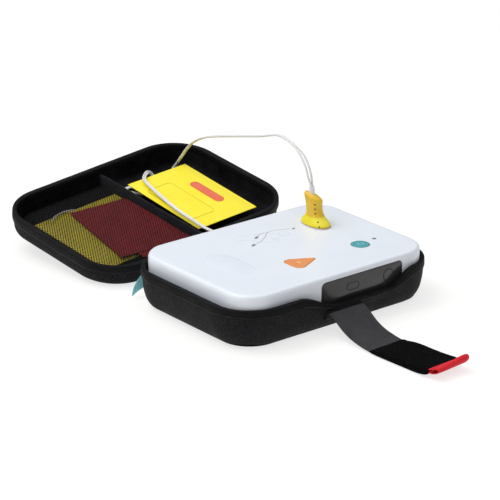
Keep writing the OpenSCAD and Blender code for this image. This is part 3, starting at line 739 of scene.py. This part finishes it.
def inflate(obj, pressure, cap, pinned, frames_run=16):
    """Puffs a sealed piece up with cloth simulation, held at its welded rim, and keeps each
    point within a cap of where it was."""
    mesh = obj.data
    rest = np.array([v.co for v in mesh.vertices])
    group = obj.vertex_groups.new(name="rim")
    group.add([i for i, p in enumerate(rest) if pinned(p)], 1.0, "REPLACE")
    cloth = obj.modifiers.new("cloth", "CLOTH")
    settings = cloth.settings
    settings.vertex_group_mass = "rim"
    settings.quality = 5
    settings.mass = 0.2
    settings.tension_stiffness = settings.compression_stiffness = 18
    settings.bending_stiffness = 0.6
    settings.use_pressure = True
    settings.uniform_pressure_force = pressure
    settings.effector_weights.gravity = 0
    cloth.collision_settings.use_collision = False
    scene = bpy.context.scene
    cloth.point_cache.frame_start, cloth.point_cache.frame_end = 1, frames_run
    for number in range(1, frames_run + 1):
        scene.frame_set(number)
    done = obj.evaluated_get(bpy.context.evaluated_depsgraph_get()).to_mesh()
    after = np.array([v.co for v in done.vertices])
    obj.to_mesh_clear()
    obj.modifiers.remove(cloth)
    obj.vertex_groups.remove(group)
    scene.frame_set(1)
    if after.shape != rest.shape or not np.isfinite(after).all():
        return
    move = after - rest
    size = np.linalg.norm(move, axis=1)[:, None]
    move *= np.minimum(1, cap * MM / np.maximum(size, 1e-9))
    mesh.vertices.foreach_set("co", (rest + move).astype(np.float32).ravel())
    mesh.update()


def press_flat(obj, limit, start):
    """Presses a lid piece's visible face flat: nothing bulges past a limit, in closed-lid mm."""
    rest = np.array([v.co for v in obj.data.vertices]) / MM
    closed = (rest - HINGE) @ LID_TURN + HINGE
    over = start - closed[:, 2]
    room = start - limit
    closed[:, 2] = np.where(over > 0, start - room * (1 - np.exp(-over / room)), closed[:, 2])
    obj.data.vertices.foreach_set("co", (opened(closed) * MM).astype(np.float32).ravel())
    obj.data.update()


def near_rim(obj, inset):
    """Which points lie on the welded rim: both faces almost meet there."""
    rest = np.array([v.co for v in obj.data.vertices])
    half = len(rest) // 2
    gap = np.linalg.norm(rest[:half] - rest[half:], axis=1)
    met = np.nonzero(gap < inset * MM)[0]
    keep = {tuple(np.round(rest[i], 6)) for i in [*met, *(met + half)]}
    return lambda p: tuple(np.round(p, 6)) in keep


POUCH_AT, POUCH_TURN, POUCH_FACE = (64, 9), 2, 57.5
pouch = pillow("pads_pouch_skin", *POUCH_AT, 89.6, 137.6, POUCH_FACE, 66.2, 4, 6, POUCH_TURN,
               POUCH, puff=0.25, seed=11.0, rim_share=0.14)
inflate(pouch, 3.0, 0.7, near_rim(pouch, 1.2))
press_flat(pouch, POUCH_FACE, 58.2)
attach(pouch, "lid")
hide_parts("pads_pouch")

packet = pillow("spare_packet_skin", -54, -2, 123.6, 133.6, 68.4, 72.2, 4, 6, 0, PACKET,
                step=2.6, puff=0.5, seed=13.0)
inflate(packet, 2.5, 0.6, near_rim(packet, 1.2))
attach(packet, "lid")
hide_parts("spare_packet")


def plate(name, circles, low, high, edge, material, body, lid=False, angle=0, about=(0, 0),
          n=96, crown=0.0, inner=0.0):
    """A label, key, lens or panel: the outline round some circles, raised to a soft edge."""
    rings = button_rings(lambda g: hull(circles, g, n), low, high, edge, crown, inner)
    verts, faces = lofted(rings)
    return piece(name, turned(verts, angle, about), faces, material, body, lid)


label = plate("pouch_lozenge", [[84, 14 - 22.5, 6.5], [84, 14 + 22.5, 6.5]], 57.15, 57.9, 0.05,
              LOZENGE, "lid", lid=True, angle=POUCH_TURN, about=(84, 14))
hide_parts("pouch_label")


def stroke(points, width, z, closed=False, thick=0.12):
    """A raised line through 2-D points, for print and for the painted highlight rings round the
    keys.
    """
    p = np.asarray(points, float)
    if closed:
        p = np.vstack([p, p[:1]])
    t = np.gradient(p, axis=0)
    if closed:
        t[0] = t[-1] = p[1] - p[-2]
    t /= np.maximum(np.linalg.norm(t, axis=1), 1e-9)[:, None]
    side = np.c_[-t[:, 1], t[:, 0]] * width / 2
    z = np.broadcast_to(z, len(p))
    return lofted([np.array([[*(a - s), h], [*(a + s), h],
                             [*(a + s), h + thick], [*(a - s), h + thick]])
                   for a, s, h in zip(p, side, z)])


panel = hull(box_circles(36, 88, 5, 45, 12), 0, 72)
line_verts, line_faces = stroke(panel, 0.7, 57.28, closed=True, thick=0.6)
piece("pouch_outline", turned(line_verts, POUCH_TURN, POUCH_AT), line_faces, OUTLINE, "lid",
      lid=True, soft=False)


def net_depth(x, y):
    """Height of the stretched net: flat over what it holds, falling to the lining at its edges."""
    ex = x + 131
    ey = np.minimum(y + 94, 90 - y)
    return 64.8 + 3.0 * (1 - smooth(0, 20, np.minimum(ex, ey))) * smooth(-6, 8, 90 - y)


def net_threads(pitch, half):
    """Two families of slanting threads, clipped to the pocket's outline."""
    cx, cy, w, d, r = -61.25, -2, 139.5, 184, 34
    slant = math.radians(33)
    parts = []
    for sign in (-1, 1):
        run = np.array([math.sin(slant), sign * math.cos(slant)])
        across = np.array([run[1], -run[0]])
        for k in np.arange(-130, 130, pitch):
            s = np.linspace(-130, 130, 180)
            p = np.array([cx, cy]) + across * k + s[:, None] * run
            q = np.abs(p - [cx, cy])
            over = np.maximum(q - [w / 2 - r, d / 2 - r], 0)
            round_end = p[:, 0] < cx
            ok = (q[:, 0] <= w / 2) & (q[:, 1] <= d / 2) \
                & (~round_end | (np.hypot(over[:, 0], over[:, 1]) <= r))
            if ok.sum() < 3:
                continue
            p = p[ok]
            z = net_depth(p[:, 0], p[:, 1]) + sign * 0.16
            rings = []
            side = np.array([across[0], across[1], 0.0]) * half
            for a, h in zip(p, z):
                c = np.array([a[0], a[1], h])
                rings.append(np.array([c - side, c + [0, 0, -0.17], c + side, c + [0, 0, 0.17]]))
            parts.append(lofted(rings))
    return joined(parts)


net = piece("net_mesh", *net_threads(2.8, 0.42), NET, "lid", lid=True, soft=False, tidy=False)
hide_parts("net_pocket")
hem_line = [[x, 90.2 + 1.6, 63.4 + 0.5 * math.sin(x * 0.09)] for x in np.linspace(-129, 7, 80)]
net_hem = piece("net_hem", *tube(hem_line, 1.5, 12, (0, 1, 0)), BINDING, "lid", lid=True)
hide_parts("net_trim")


def leaf_of(x, y, w, d, z, angle, bow=0.35, nx=20, ny=40):
    """A thin printed sheet, gently bowed."""
    top = np.array([[x + w * i / nx, y + d * j / ny,
                     z + bow * math.sin(j / ny * 5 + i / (nx + 1) * 3)]
                    for j in range(ny + 1) for i in range(nx + 1)])
    return turned(np.vstack([top, top + [0, 0, 0.3]]), angle, (x, y)), two_sided(nx, ny)


leaves = joined([leaf_of(-70, -60, 76, 122, 65.8, 9),
                 leaf_of(-67, -46, 74.6, 122, 66.8, 0, bow=0.2)])
leaf = piece("leaflet_sheets", *leaves, PAPER, "lid", lid=True)
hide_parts("leaflet")

loop_patch = plate("loop_patch", box_circles(50, 60, 4, -3, -62), 76.6, 78.3, 0.6, HOOK, "lid",
                   lid=True)
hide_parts("hook_patch")


# ---------- fabric across the hinge, ribbon ----------

def hinge_cloth_section(x):
    """Outline of the fabric strip between tray and lid at one place along the hinge."""
    def on_tray(points):
        return [[x, y, z] for y, z in points]

    def on_lid(points):
        return [list(q) for q in opened(on_tray(points))]

    return np.array(
        on_tray([(109.5, 39), (111, 39.2), (112.3, 43), (114.5, 46.6), (118, 46.9),
                 (122.5, 44.6), (125.5, 42.6)])
        + on_lid([(116.5, 49.9), (113.4, 51), (112, 54), (110.9, 59), (109.5, 59.2),
                  (109.6, 54), (110.4, 50.4), (114, 48.4)])
        + on_tray([(126, 44.2), (121.5, 46.7), (117.6, 48.7), (113, 48.9), (110.3, 47.6),
                   (109.5, 43)]))


rows = []
for x in np.linspace(-84, 84, 90):
    ring = spline(hinge_cloth_section(x), 3, True)
    ring[:, 2] += wobble(ring, 9, 0.25, 21.0)
    rows.append(ring)
hinge_cloth = piece("hinge_cloth", *lofted(rows), BINDING)
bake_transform(hinge_cloth)
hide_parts("hinge_fabric")

top_side = spline([[-86, 35.6], [-99, 35.4], [-113, 27], [-127, 15.5], [-131.6, 3.2]], 8)
low_side = spline([[-86, 23.4], [-101, 15.8], [-111.5, 9.6], [-123.5, 6.2], [-131, 2.4]], 8)
rings = []
for a, b in zip(top_side, low_side):
    across = np.linspace(0, 1, 9)[:, None]
    p = a * (1 - across) + b * across
    y = 110.8 - 0.5 * np.sin(across[:, 0] * math.pi) * (1 - smooth(-131, -100, p[:, 0])) \
        - 1.2 * smooth(-112, -130, p[:, 0])
    row = np.c_[p[:, 0], y, p[:, 1]]
    rings.append(np.vstack([row, row[::-1] + [0, 0.5, 0]]))
ribbon = piece("ribbon_loop", *lofted(rings), RIBBON, "case")
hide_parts("ribbon_tag")


# ---------- closure strap ----------

STRAP_X, STRAP_WIDTH = -3, 49.6
STRAP_LINE = [[-111.5, 24.5], [-117, 23.2], [-125, 18.2], [-136, 11.6], [-149, 6.6],
              [-164, 3.8], [-178, 2.5], [-184.6, 2.3]]


def along_strip(path, width, half, across):
    """A path of (y, z) with its headings, and a strip's own width and half thickness across."""
    p = np.asarray(path, float)
    t = np.gradient(p, axis=0)
    t /= np.linalg.norm(t, axis=1)[:, None]
    s = np.linspace(-1, 1, across)
    return p, t, s, STRAP_X + s * width / 2, half * np.sqrt(np.clip(1 - np.abs(s) ** 14, 0.06, 1))


def band_of(path, width, half, across=21, wave=0.0):
    """A flat woven strip that follows a path, its upper side up, with rounded selvedges."""
    p, t, s, x, bulge = along_strip(path, width, half, across)
    rings = []
    for (y, z), (uz, uy) in zip(p, t * [1, -1]):
        if uz < 0:
            uy, uz = -uy, -uz
        lift = wave * np.sin(y * 0.11 + s * 1.3)
        top = np.c_[x, y + uy * (bulge + lift), z + uz * (bulge + lift)]
        low = np.c_[x, y - uy * (bulge - lift), z - uz * (bulge - lift)]
        rings.append(np.vstack([low, top[::-1]]))
    return lofted(rings)


def doubled(path, width, half, across=25):
    """A strip turned back on itself, following a closed-up path."""
    p, t, s, x, bulge = along_strip(path, width, half, across)
    rings = []
    for (y, z), (ty, tz) in zip(p, t):
        line = np.c_[x, np.full(across, y), np.full(across, z)]
        out = np.array([0, -tz, ty])
        rings.append(np.vstack([line - out * bulge[:, None], (line + out * bulge[:, None])[::-1]]))
    return lofted(rings)


web_path = spline(STRAP_LINE, 8)
webbing = piece("webbing_strip", *band_of(web_path, STRAP_WIDTH, 0.95, wave=0.12), WEBBING)
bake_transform(webbing)
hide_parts("strap_webbing")

section = spline([[-103.7, 15], [-105.1, 20], [-106.2, 21.7], [-107.9, 26], [-109.2, 26.5],
                  [-110.3, 25.8], [-110.3, 22.5], [-106.5, 16.5], [-105, 14.6]], 3, True)
c = section.mean(axis=0)
anchor_rings = []
for x in np.linspace(-28, 22, 40):
    end = 1 - 0.25 * smooth(23.5, 25, abs(x - STRAP_X))
    anchor_rings.append(np.c_[np.full(len(section), x), c + (section - c) * end])
strap_patch = piece("strap_patch", *lofted(anchor_rings), CASE_CLOTH, "case")
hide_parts("strap_anchor")
box_stitch = []
for z in (17.2, 21.8):
    y = np.interp(z, [14.6, 16.5, 22.5], [-105.0, -106.5, -110.3]) - 0.1
    for x in np.arange(-26.5, 20.5, 3.2):
        thread = [[x, y, z], [x + 0.7, y - 0.15, z], [x + 1.6, y - 0.15, z], [x + 2.3, y, z]]
        box_stitch.append(tube(thread, [0.15, 0.3, 0.3, 0.15], 6, UP))
piece("strap_stitch", *joined(box_stitch), THREAD, "case")


def strap_turn(points):
    """The strap's far half lies a little askew."""
    return turned(points, 3, (STRAP_X, -186))


def along_x(section, width, count, soften, power=2.2):
    """A loft across the strap of one (y, z) section, its ends drawn in to a soft edge."""
    s = spline(section, 4, True)
    c = s.mean(axis=0)
    rings = []
    for x in np.linspace(-1, 1, count):
        edge = max(0.0, (abs(x) * width / 2 - (width / 2 - soften)) / soften)
        k = (1 - edge ** power) ** (1 / power) if edge < 1 else 0.0
        shrink = 1 - (1 - k) * soften / np.maximum(np.abs(s - c).max(axis=0), 1e-6)
        shrink = np.clip(shrink, 0.2, 1)
        rings.append(np.c_[np.full(len(s), STRAP_X + x * width / 2), c + (s - c) * shrink])
    return rings


pad_section = [[-176.6, 2.5], [-178.4, 1.3], [-184, 0.75], [-191, 0.45], [-205, 0.4],
               [-226, 0.4], [-246, 0.45], [-256, 1.6], [-262, 3.4], [-263.8, 6], [-262.6, 8.6],
               [-259, 9.3], [-250, 8.6], [-238, 7.9], [-216, 7.8], [-202, 7.5], [-193, 6.3],
               [-184, 4.6], [-178.4, 3.8]]
pad_rings = []
for ring in along_x(pad_section, 50.6, 56, 3.0):
    ring[:, 2] += wobble(ring, 11, 0.35, 31.0) * smooth(1.5, 4, ring[:, 2])
    pad_rings.append(strap_turn(ring))
grip = piece("strap_grip", *lofted(pad_rings), HOOK)
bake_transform(grip)
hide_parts("strap_pad")

tab_path = spline([[-263.4, 6.2], [-267, 6.1], [-271.5, 6.9], [-275.6, 8.6], [-278, 10.9],
                   [-277.6, 13.0], [-274.8, 13.4], [-271.2, 12.0], [-267.4, 10.4],
                   [-263.8, 9.6]], 5)
tab_verts, tab_faces = doubled(tab_path, 46.8, 0.6)
curl = smooth(-20, 20, tab_verts[:, 0]) * smooth(264, 272, -tab_verts[:, 1])
tab_verts[:, 2] += (0.55 * tab_verts[:, 2] - 3.3) * curl
tab = piece("red_pull_tab", strap_turn(tab_verts), tab_faces, RED_TAB, "strap_end")
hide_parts("pull_tab")
tab_stitches = []
for x in np.arange(-24.5, 18.5, 2.9):
    thread = [[x, -266, 10.5], [x + 0.6, -266.05, 10.75], [x + 1.5, -266.05, 10.75],
              [x + 2.1, -266, 10.5]]
    tab_stitches.append(tube(strap_turn(thread), [0.12, 0.28, 0.28, 0.12], 6, UP))
piece("tab_stitch", *joined(tab_stitches), RED_TAB, "strap_end")


# ---------- device ----------

def applied(obj, modifier):
    """Bakes one modifier into the mesh."""
    seen = obj.evaluated_get(bpy.context.evaluated_depsgraph_get())
    made = bpy.data.meshes.new_from_object(seen)
    obj.modifiers.remove(modifier)
    old, obj.data = obj.data, made
    bpy.data.meshes.remove(old)
    return made


def cut(obj, *cutters):
    """Takes the cutters out of a closed mesh."""
    for cutter in cutters:
        m = obj.modifiers.new("cut", "BOOLEAN")
        m.operation, m.solver, m.object = "DIFFERENCE", "EXACT", cutter
        applied(obj, m)
        bpy.data.objects.remove(cutter)


def bevel(obj, width, segments=2):
    m = obj.modifiers.new("edge", "BEVEL")
    m.width, m.segments, m.harden_normals = width * MM, segments, False
    m.limit_method, m.angle_limit = "ANGLE", math.radians(35)
    made = applied(obj, m)
    for polygon in made.polygons:
        polygon.use_smooth = True
    made.set_sharp_from_angle(angle=SHARP)


# Circles [x, y, r] whose hull is the outline of each opening in the top shell
TRIANGLE = [[-22, -40.5, 8], [-22, -54, 8], [3, -48, 2.6]]
DISC = [[73.6, -47, 10.7]]
LAMP = [[98, -43, 2.6]]
GRILLE = [[-81, -6 - 17, 18], [-81, -6 + 17, 18]]
SOCKET = [[76, 26, 12], [76, 42, 12]]
TOP = 63.0  # the shell's top face


def shell_ring(inset, z, r):
    p = rounded(DEVICE_W - 2 * inset, DEVICE_D - 2 * inset, r, 22, 50, 30)
    return flat(p + [0, -2], z)


shell_outer = [[0.5, 29, 33.6], [0.2, 40, 34], [0.02, 50, 34], [0, 57.4, 34], [0.14, 58.9, 33.9],
               [0.55, 60.3, 33.6], [1.25, 61.5, 33], [2.2, 62.35, 32], [3.4, 62.8, 31],
               [5.2, 62.97, 29.6], [8, TOP, 27]]
shell_inner = [[8, 60.4, 27], [4.4, 58.2, 30.6], [3, 52, 31.6], [3, 29, 31.5]]
shell_rings = [shell_ring(*s) for s in shell_outer + shell_inner]
shell = piece("device_top_shell", *lofted(shell_rings, ends=False), WHITE, soft=False)

# The loft runs up the outside and down the inside: its top and underside are closed here
bm = bmesh.new()
bm.from_mesh(shell.data)
n_ring, n_outer = len(shell_rings[0]), len(shell_outer)
bm.verts.ensure_lookup_table()
doomed = [f for f in bm.faces if {v.index // n_ring for v in f.verts} == {n_outer - 1, n_outer}]
bmesh.ops.delete(bm, geom=doomed, context="FACES_ONLY")
bm.verts.ensure_lookup_table()
top_last, inner_first = (n_outer - 1) * n_ring, n_outer * n_ring
inner_last = (len(shell_rings) - 1) * n_ring
bm.faces.new([bm.verts[top_last + i] for i in range(n_ring)])
bm.faces.new([bm.verts[inner_first + i] for i in range(n_ring)][::-1])
for i in range(n_ring):
    j = (i + 1) % n_ring
    bm.faces.new([bm.verts[i], bm.verts[inner_last + i], bm.verts[inner_last + j], bm.verts[j]])
bmesh.ops.recalc_face_normals(bm, faces=bm.faces)
bm.to_mesh(shell.data)
bm.free()


def cutter(rings):
    return piece("cutter", *lofted(rings), WHITE, soft=False)


def opening(circles, grow):
    return cutter([flat(hull(circles, grow), z) for z in (55, 70)])


def panel_rings(grow, y_in, y_out, edge):
    """The smoked panel in the front wall: square feet on the seam, round upper corners."""
    x0, x1, z0, z1, r = -29 - grow, 89 + grow, 29.3 - grow, 57 + grow, 6.0
    steps = [(0, y_in), (0, y_out + edge)]
    for a in np.radians((30, 60, 90)):
        steps.append((-edge * (1 - math.cos(a)), y_out + edge - edge * math.sin(a)))
    rings = []
    for g, y in steps:
        a = np.radians(np.linspace(0, 90, 12))
        right = np.c_[x1 - r + (r + g) * np.cos(a), z1 - r + (r + g) * np.sin(a)]
        left = np.c_[x0 + r - (r + g) * np.sin(a), z1 - r + (r + g) * np.cos(a)]
        bottom = np.c_[np.linspace(x0 - g, x1 + g, 40), np.full(40, z0 - g)]
        rings.append(upright([*bottom, *right, *left], y))
    return rings


cut(shell, opening(TRIANGLE, 0.5), opening(DISC, 0.5), opening(LAMP, 0.15),
    opening(GRILLE, 0.08), opening(SOCKET, 0.1), cutter(panel_rings(0.12, -90, -105, 0.0)[:2]))
bevel(shell, 0.35)
level = shell.modifiers.new("level", "WEIGHTED_NORMAL")  # keeps the wide top face evenly lit
level.mode, level.weight, level.keep_sharp = "FACE_AREA", 100, True
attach(shell, "case")
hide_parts("top_housing")

window = piece("smoked_window", *lofted(panel_rings(0, -97.3, -100.9, 0.7)), SMOKED, "case")
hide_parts("front_window")


def framed(outline, y, width):
    """A raised line round an outline of (x, z), on the front wall."""
    verts, faces = stroke(outline, width, 0.0, closed=True, thick=0.25)
    return np.c_[verts[:, 0], y - verts[:, 2], verts[:, 1]], faces


PANEL_FACE = -100.85
pill, eye = hull([[11.5, 44, 4.1], [20.5, 44, 4.1]], 0, 48), hull([[68, 44, 7.0]], 0, 48)
piece("window_marks", *joined([framed(pill, PANEL_FACE, 0.8), framed(eye, PANEL_FACE, 1.0)]),
      TRIM_DARK, "case", soft=False)
lip_x = np.linspace(-28, 88, 60)
lip_rings = [upright(np.c_[lip_x, np.full(60, z)], y)
             for y, z in ((-100.35, 35.2), (-101.0, 35.0), (-100.4, 34.3))]
piece("window_lip", *lofted(lip_rings, closed=True), SMOKED, "case")

shock = plate("shock_key", TRIANGLE, 58.8, 63.5, 0.9, ORANGE, "shock_button", n=120,
              crown=0.12, inner=2.4)
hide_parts("shock_button")
power = plate("power_key", DISC, 58.8, 63.6, 0.9, TEAL, "power_button", crown=0.10, inner=9.0)
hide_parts("power_button")
speaker_panel = plate("speaker_panel", GRILLE, 61.2, 62.94, 0.12, GREY, "case")
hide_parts("speaker_grille")
lamp = plate("lamp_dome", LAMP, 60, 63.02, 0.35, LENS, "case", n=40, crown=0.05, inner=2.3)
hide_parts("status_light")


# ---------- printing on the device, and painted highlight rings round its keys ---

def print_and_highlight_line(points, width, z, closed=False):
    return stroke(points, width, z, closed, 0.06)


# Thin pale rings round the shock and power keys are painted highlight, standing in for the light
# caught by the openings' edges
highlight_rims = joined([print_and_highlight_line(hull(TRIANGLE, 1.3, 120), 1.1, TOP - 0.01, True),
               print_and_highlight_line(hull(DISC, 1.5, 96), 0.8, TOP - 0.01, True)])
piece("key_highlight_rings", *highlight_rims, KEY_HIGHLIGHT, "case", soft=False)
bolt = np.array([[-16, -44.6], [-20.6, -47.6], [-17.2, -48.2], [-19.6, -51.6],
                 [-13.4, -47.8], [-16.8, -47.2]])
verts = np.vstack([flat(bolt, 63.60), flat(bolt, 63.68)])
faces = [(0, 1, 2, 3, 4, 5), (11, 10, 9, 8, 7, 6)] \
    + [(i, (i + 1) % 6, 6 + (i + 1) % 6, 6 + i) for i in range(6)]
piece("shock_mark", verts, faces, AMBER_PRINT, "shock_button", soft=False)
turn = np.radians(np.linspace(125, 415, 40))
open_ring = np.c_[73.6 + 3.6 * np.cos(turn), -47 + 3.6 * np.sin(turn)]
power_sign = joined([print_and_highlight_line(open_ring, 0.8, 63.66),
                     print_and_highlight_line([[73.6, -45.4], [73.6, -42.2]], 0.8, 63.66)])
piece("power_mark", *power_sign, AQUA_PRINT, "power_button", soft=False)


# A generic guide to placing two pads, printed in thin grey line
def print_line(points, steps=8, width=0.45, closed=False):
    return stroke(spline(points, steps, closed), width, TOP, closed=closed, thick=0.05)


def print_pad(x, y, w, d):
    outline = turned(hull(box_circles(w, d, 1.0, x, y), 0, 40), -56, (x, y))
    return lofted([flat(outline, TOP), flat(outline, TOP + 0.07)])


torso_left = [[-26, 49], [-20, 43], [-13, 36.5], [-9, 30], [-4, 25], [2, 21]]
torso_right = [[-18, 60], [-11, 57], [-5, 54], [4, 50], [12, 46], [20, 41]]
arm = [[2, 21], [7, 17.5], [11, 19], [10, 24], [6, 28]]
head = [[24, 30], [22.5, 35], [26, 39.5], [32, 39], [35, 34.5], [33.5, 29], [28.5, 27]]
neck, shoulder = [[20, 41], [22.5, 38]], [[6, 28], [15, 27], [23, 29]]
figure = [print_line(line) for line in (torso_left, torso_right, arm, neck, shoulder)]
piece("guide_print", *joined(figure + [print_line(head, 6, 0.5, True)]), PRINT, "case", soft=False)
upper_wire = [[-2, 44.5], [5, 48.5], [12, 49.5], [16, 47]]
lower_wire = [[-19, 27], [-9, 30], [0, 35], [8, 41], [13, 46], [22, 49], [34, 45.5], [44, 41]]
wired = [print_line(wire, 8, 0.6) for wire in (upper_wire, lower_wire)]
pads = [print_pad(*at) for at in ((-4, 43, 3.6, 7.6), (-22, 26, 3.6, 7.6), (47.5, 39.2, 2.6, 5))]
piece("guide_pads", *joined(wired + pads), PRINT_DARK, "case", soft=False)


# ---------- finishes of the CAD nodes ----------

FINISH = {
    WHITE: ["bottom_housing", "battery_door", "top_housing"],
    GREY: ["speaker_grille", "pads_socket"],
    RUBBER: ["rubber_feet"], CELL: ["battery_cells"],
    BRASS: ["battery_contacts", "socket_contacts"], BOARD: ["main_board", "front_board"],
    CHIP: ["board_parts", "ir_receiver", "speaker", "plug_blade"],
    STEEL: ["board_screws", "housing_screws"], DOME: ["button_domes"],
    CASE_CLOTH: ["tray_shell", "lid_shell"],
    BINDING: ["tray_binding", "lid_binding", "hinge_fabric", "net_trim"],
    LINING: ["tray_liner", "lid_liner"], WEBBING: ["strap_anchor", "strap_webbing"],
    FUZZ: ["lid_divider"], HOOK: ["hook_patch", "strap_pad"], RED_TAB: ["pull_tab"],
    RIBBON: ["ribbon_tag"], NET: ["net_pocket"], SMOKED: ["front_window"],
    LENS: ["status_light"], ORANGE: ["shock_button"], TEAL: ["power_button"],
    PLUG: ["plug_shell"], LEAD: ["plug_boot", "packet_lead", "lead_plug_side", "lead_lid_side"],
    PACKET: ["spare_packet"], PAPER: ["leaflet"], POUCH: ["pads_pouch"], LOZENGE: ["pouch_label"],
}
for finish_material, names in FINISH.items():
    for node_name in names:
        for material_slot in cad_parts[node_name].material_slots:
            material_slot.link = "OBJECT"
            material_slot.material = finish_material


# ---------- floor, light ----------

floor_mesh = bpy.data.meshes.new("floor")
REACH = 14  # half the width of the floor, m
corners = [(x * REACH, y * REACH, 0) for x, y in ((-1, -1), (1, -1), (1, 1), (-1, 1))]
floor_mesh.from_pydata(corners, [], [(0, 1, 2, 3)])
floor = bpy.data.objects.new("floor", floor_mesh)
bpy.context.scene.collection.objects.link(floor)
pale = bpy.data.materials.new("studio_floor")
pale.use_nodes = True
fill(pale.node_tree, pale.node_tree.nodes["Principled BSDF"], {
    "Base Color": (0.31, 0.30, 0.285, 1), "Roughness": 0.9, "Specular IOR Level": 0.1,
    "Emission Color": (1, 1, 1, 1), "Emission Strength": 0.72})
floor_mesh.materials.append(pale)

world = bpy.data.worlds.new("studio")
bpy.context.scene.world = world
world.use_nodes = True
sky = world.node_tree
direction = shader(sky, "TexCoord", "Generated", {})
overhead = shader(sky, "SeparateXYZ", "Z", {"Vector": direction})
fill(sky, sky.nodes["Background"], {"Strength": ranged(sky, overhead, 0.15, 0.95, 0.06, 1.05),
                                    "Color": (0.965, 0.98, 1.0, 1)})


def lamp_at(name, at, towards, size, power):
    data = bpy.data.lights.new(name, "AREA")
    data.shape, data.size, data.energy = "DISK", size, power
    obj = bpy.data.objects.new(name, data)
    bpy.context.scene.collection.objects.link(obj)
    obj.location = at
    obj.rotation_euler = (Vector(towards) - Vector(at)).to_track_quat("-Z", "Y").to_euler()


lamp_at("key", (-1.0, 1.2, 2.9), (0, 0.1, 0), 2.4, 53)
lamp_at("side", (-2.6, -0.4, 1.4), (0, 0, 0), 1.6, 9)

scene = bpy.context.scene
scene.view_settings.view_transform = "Standard"
scene.view_settings.look = "None"
scene.view_settings.exposure = 0.0
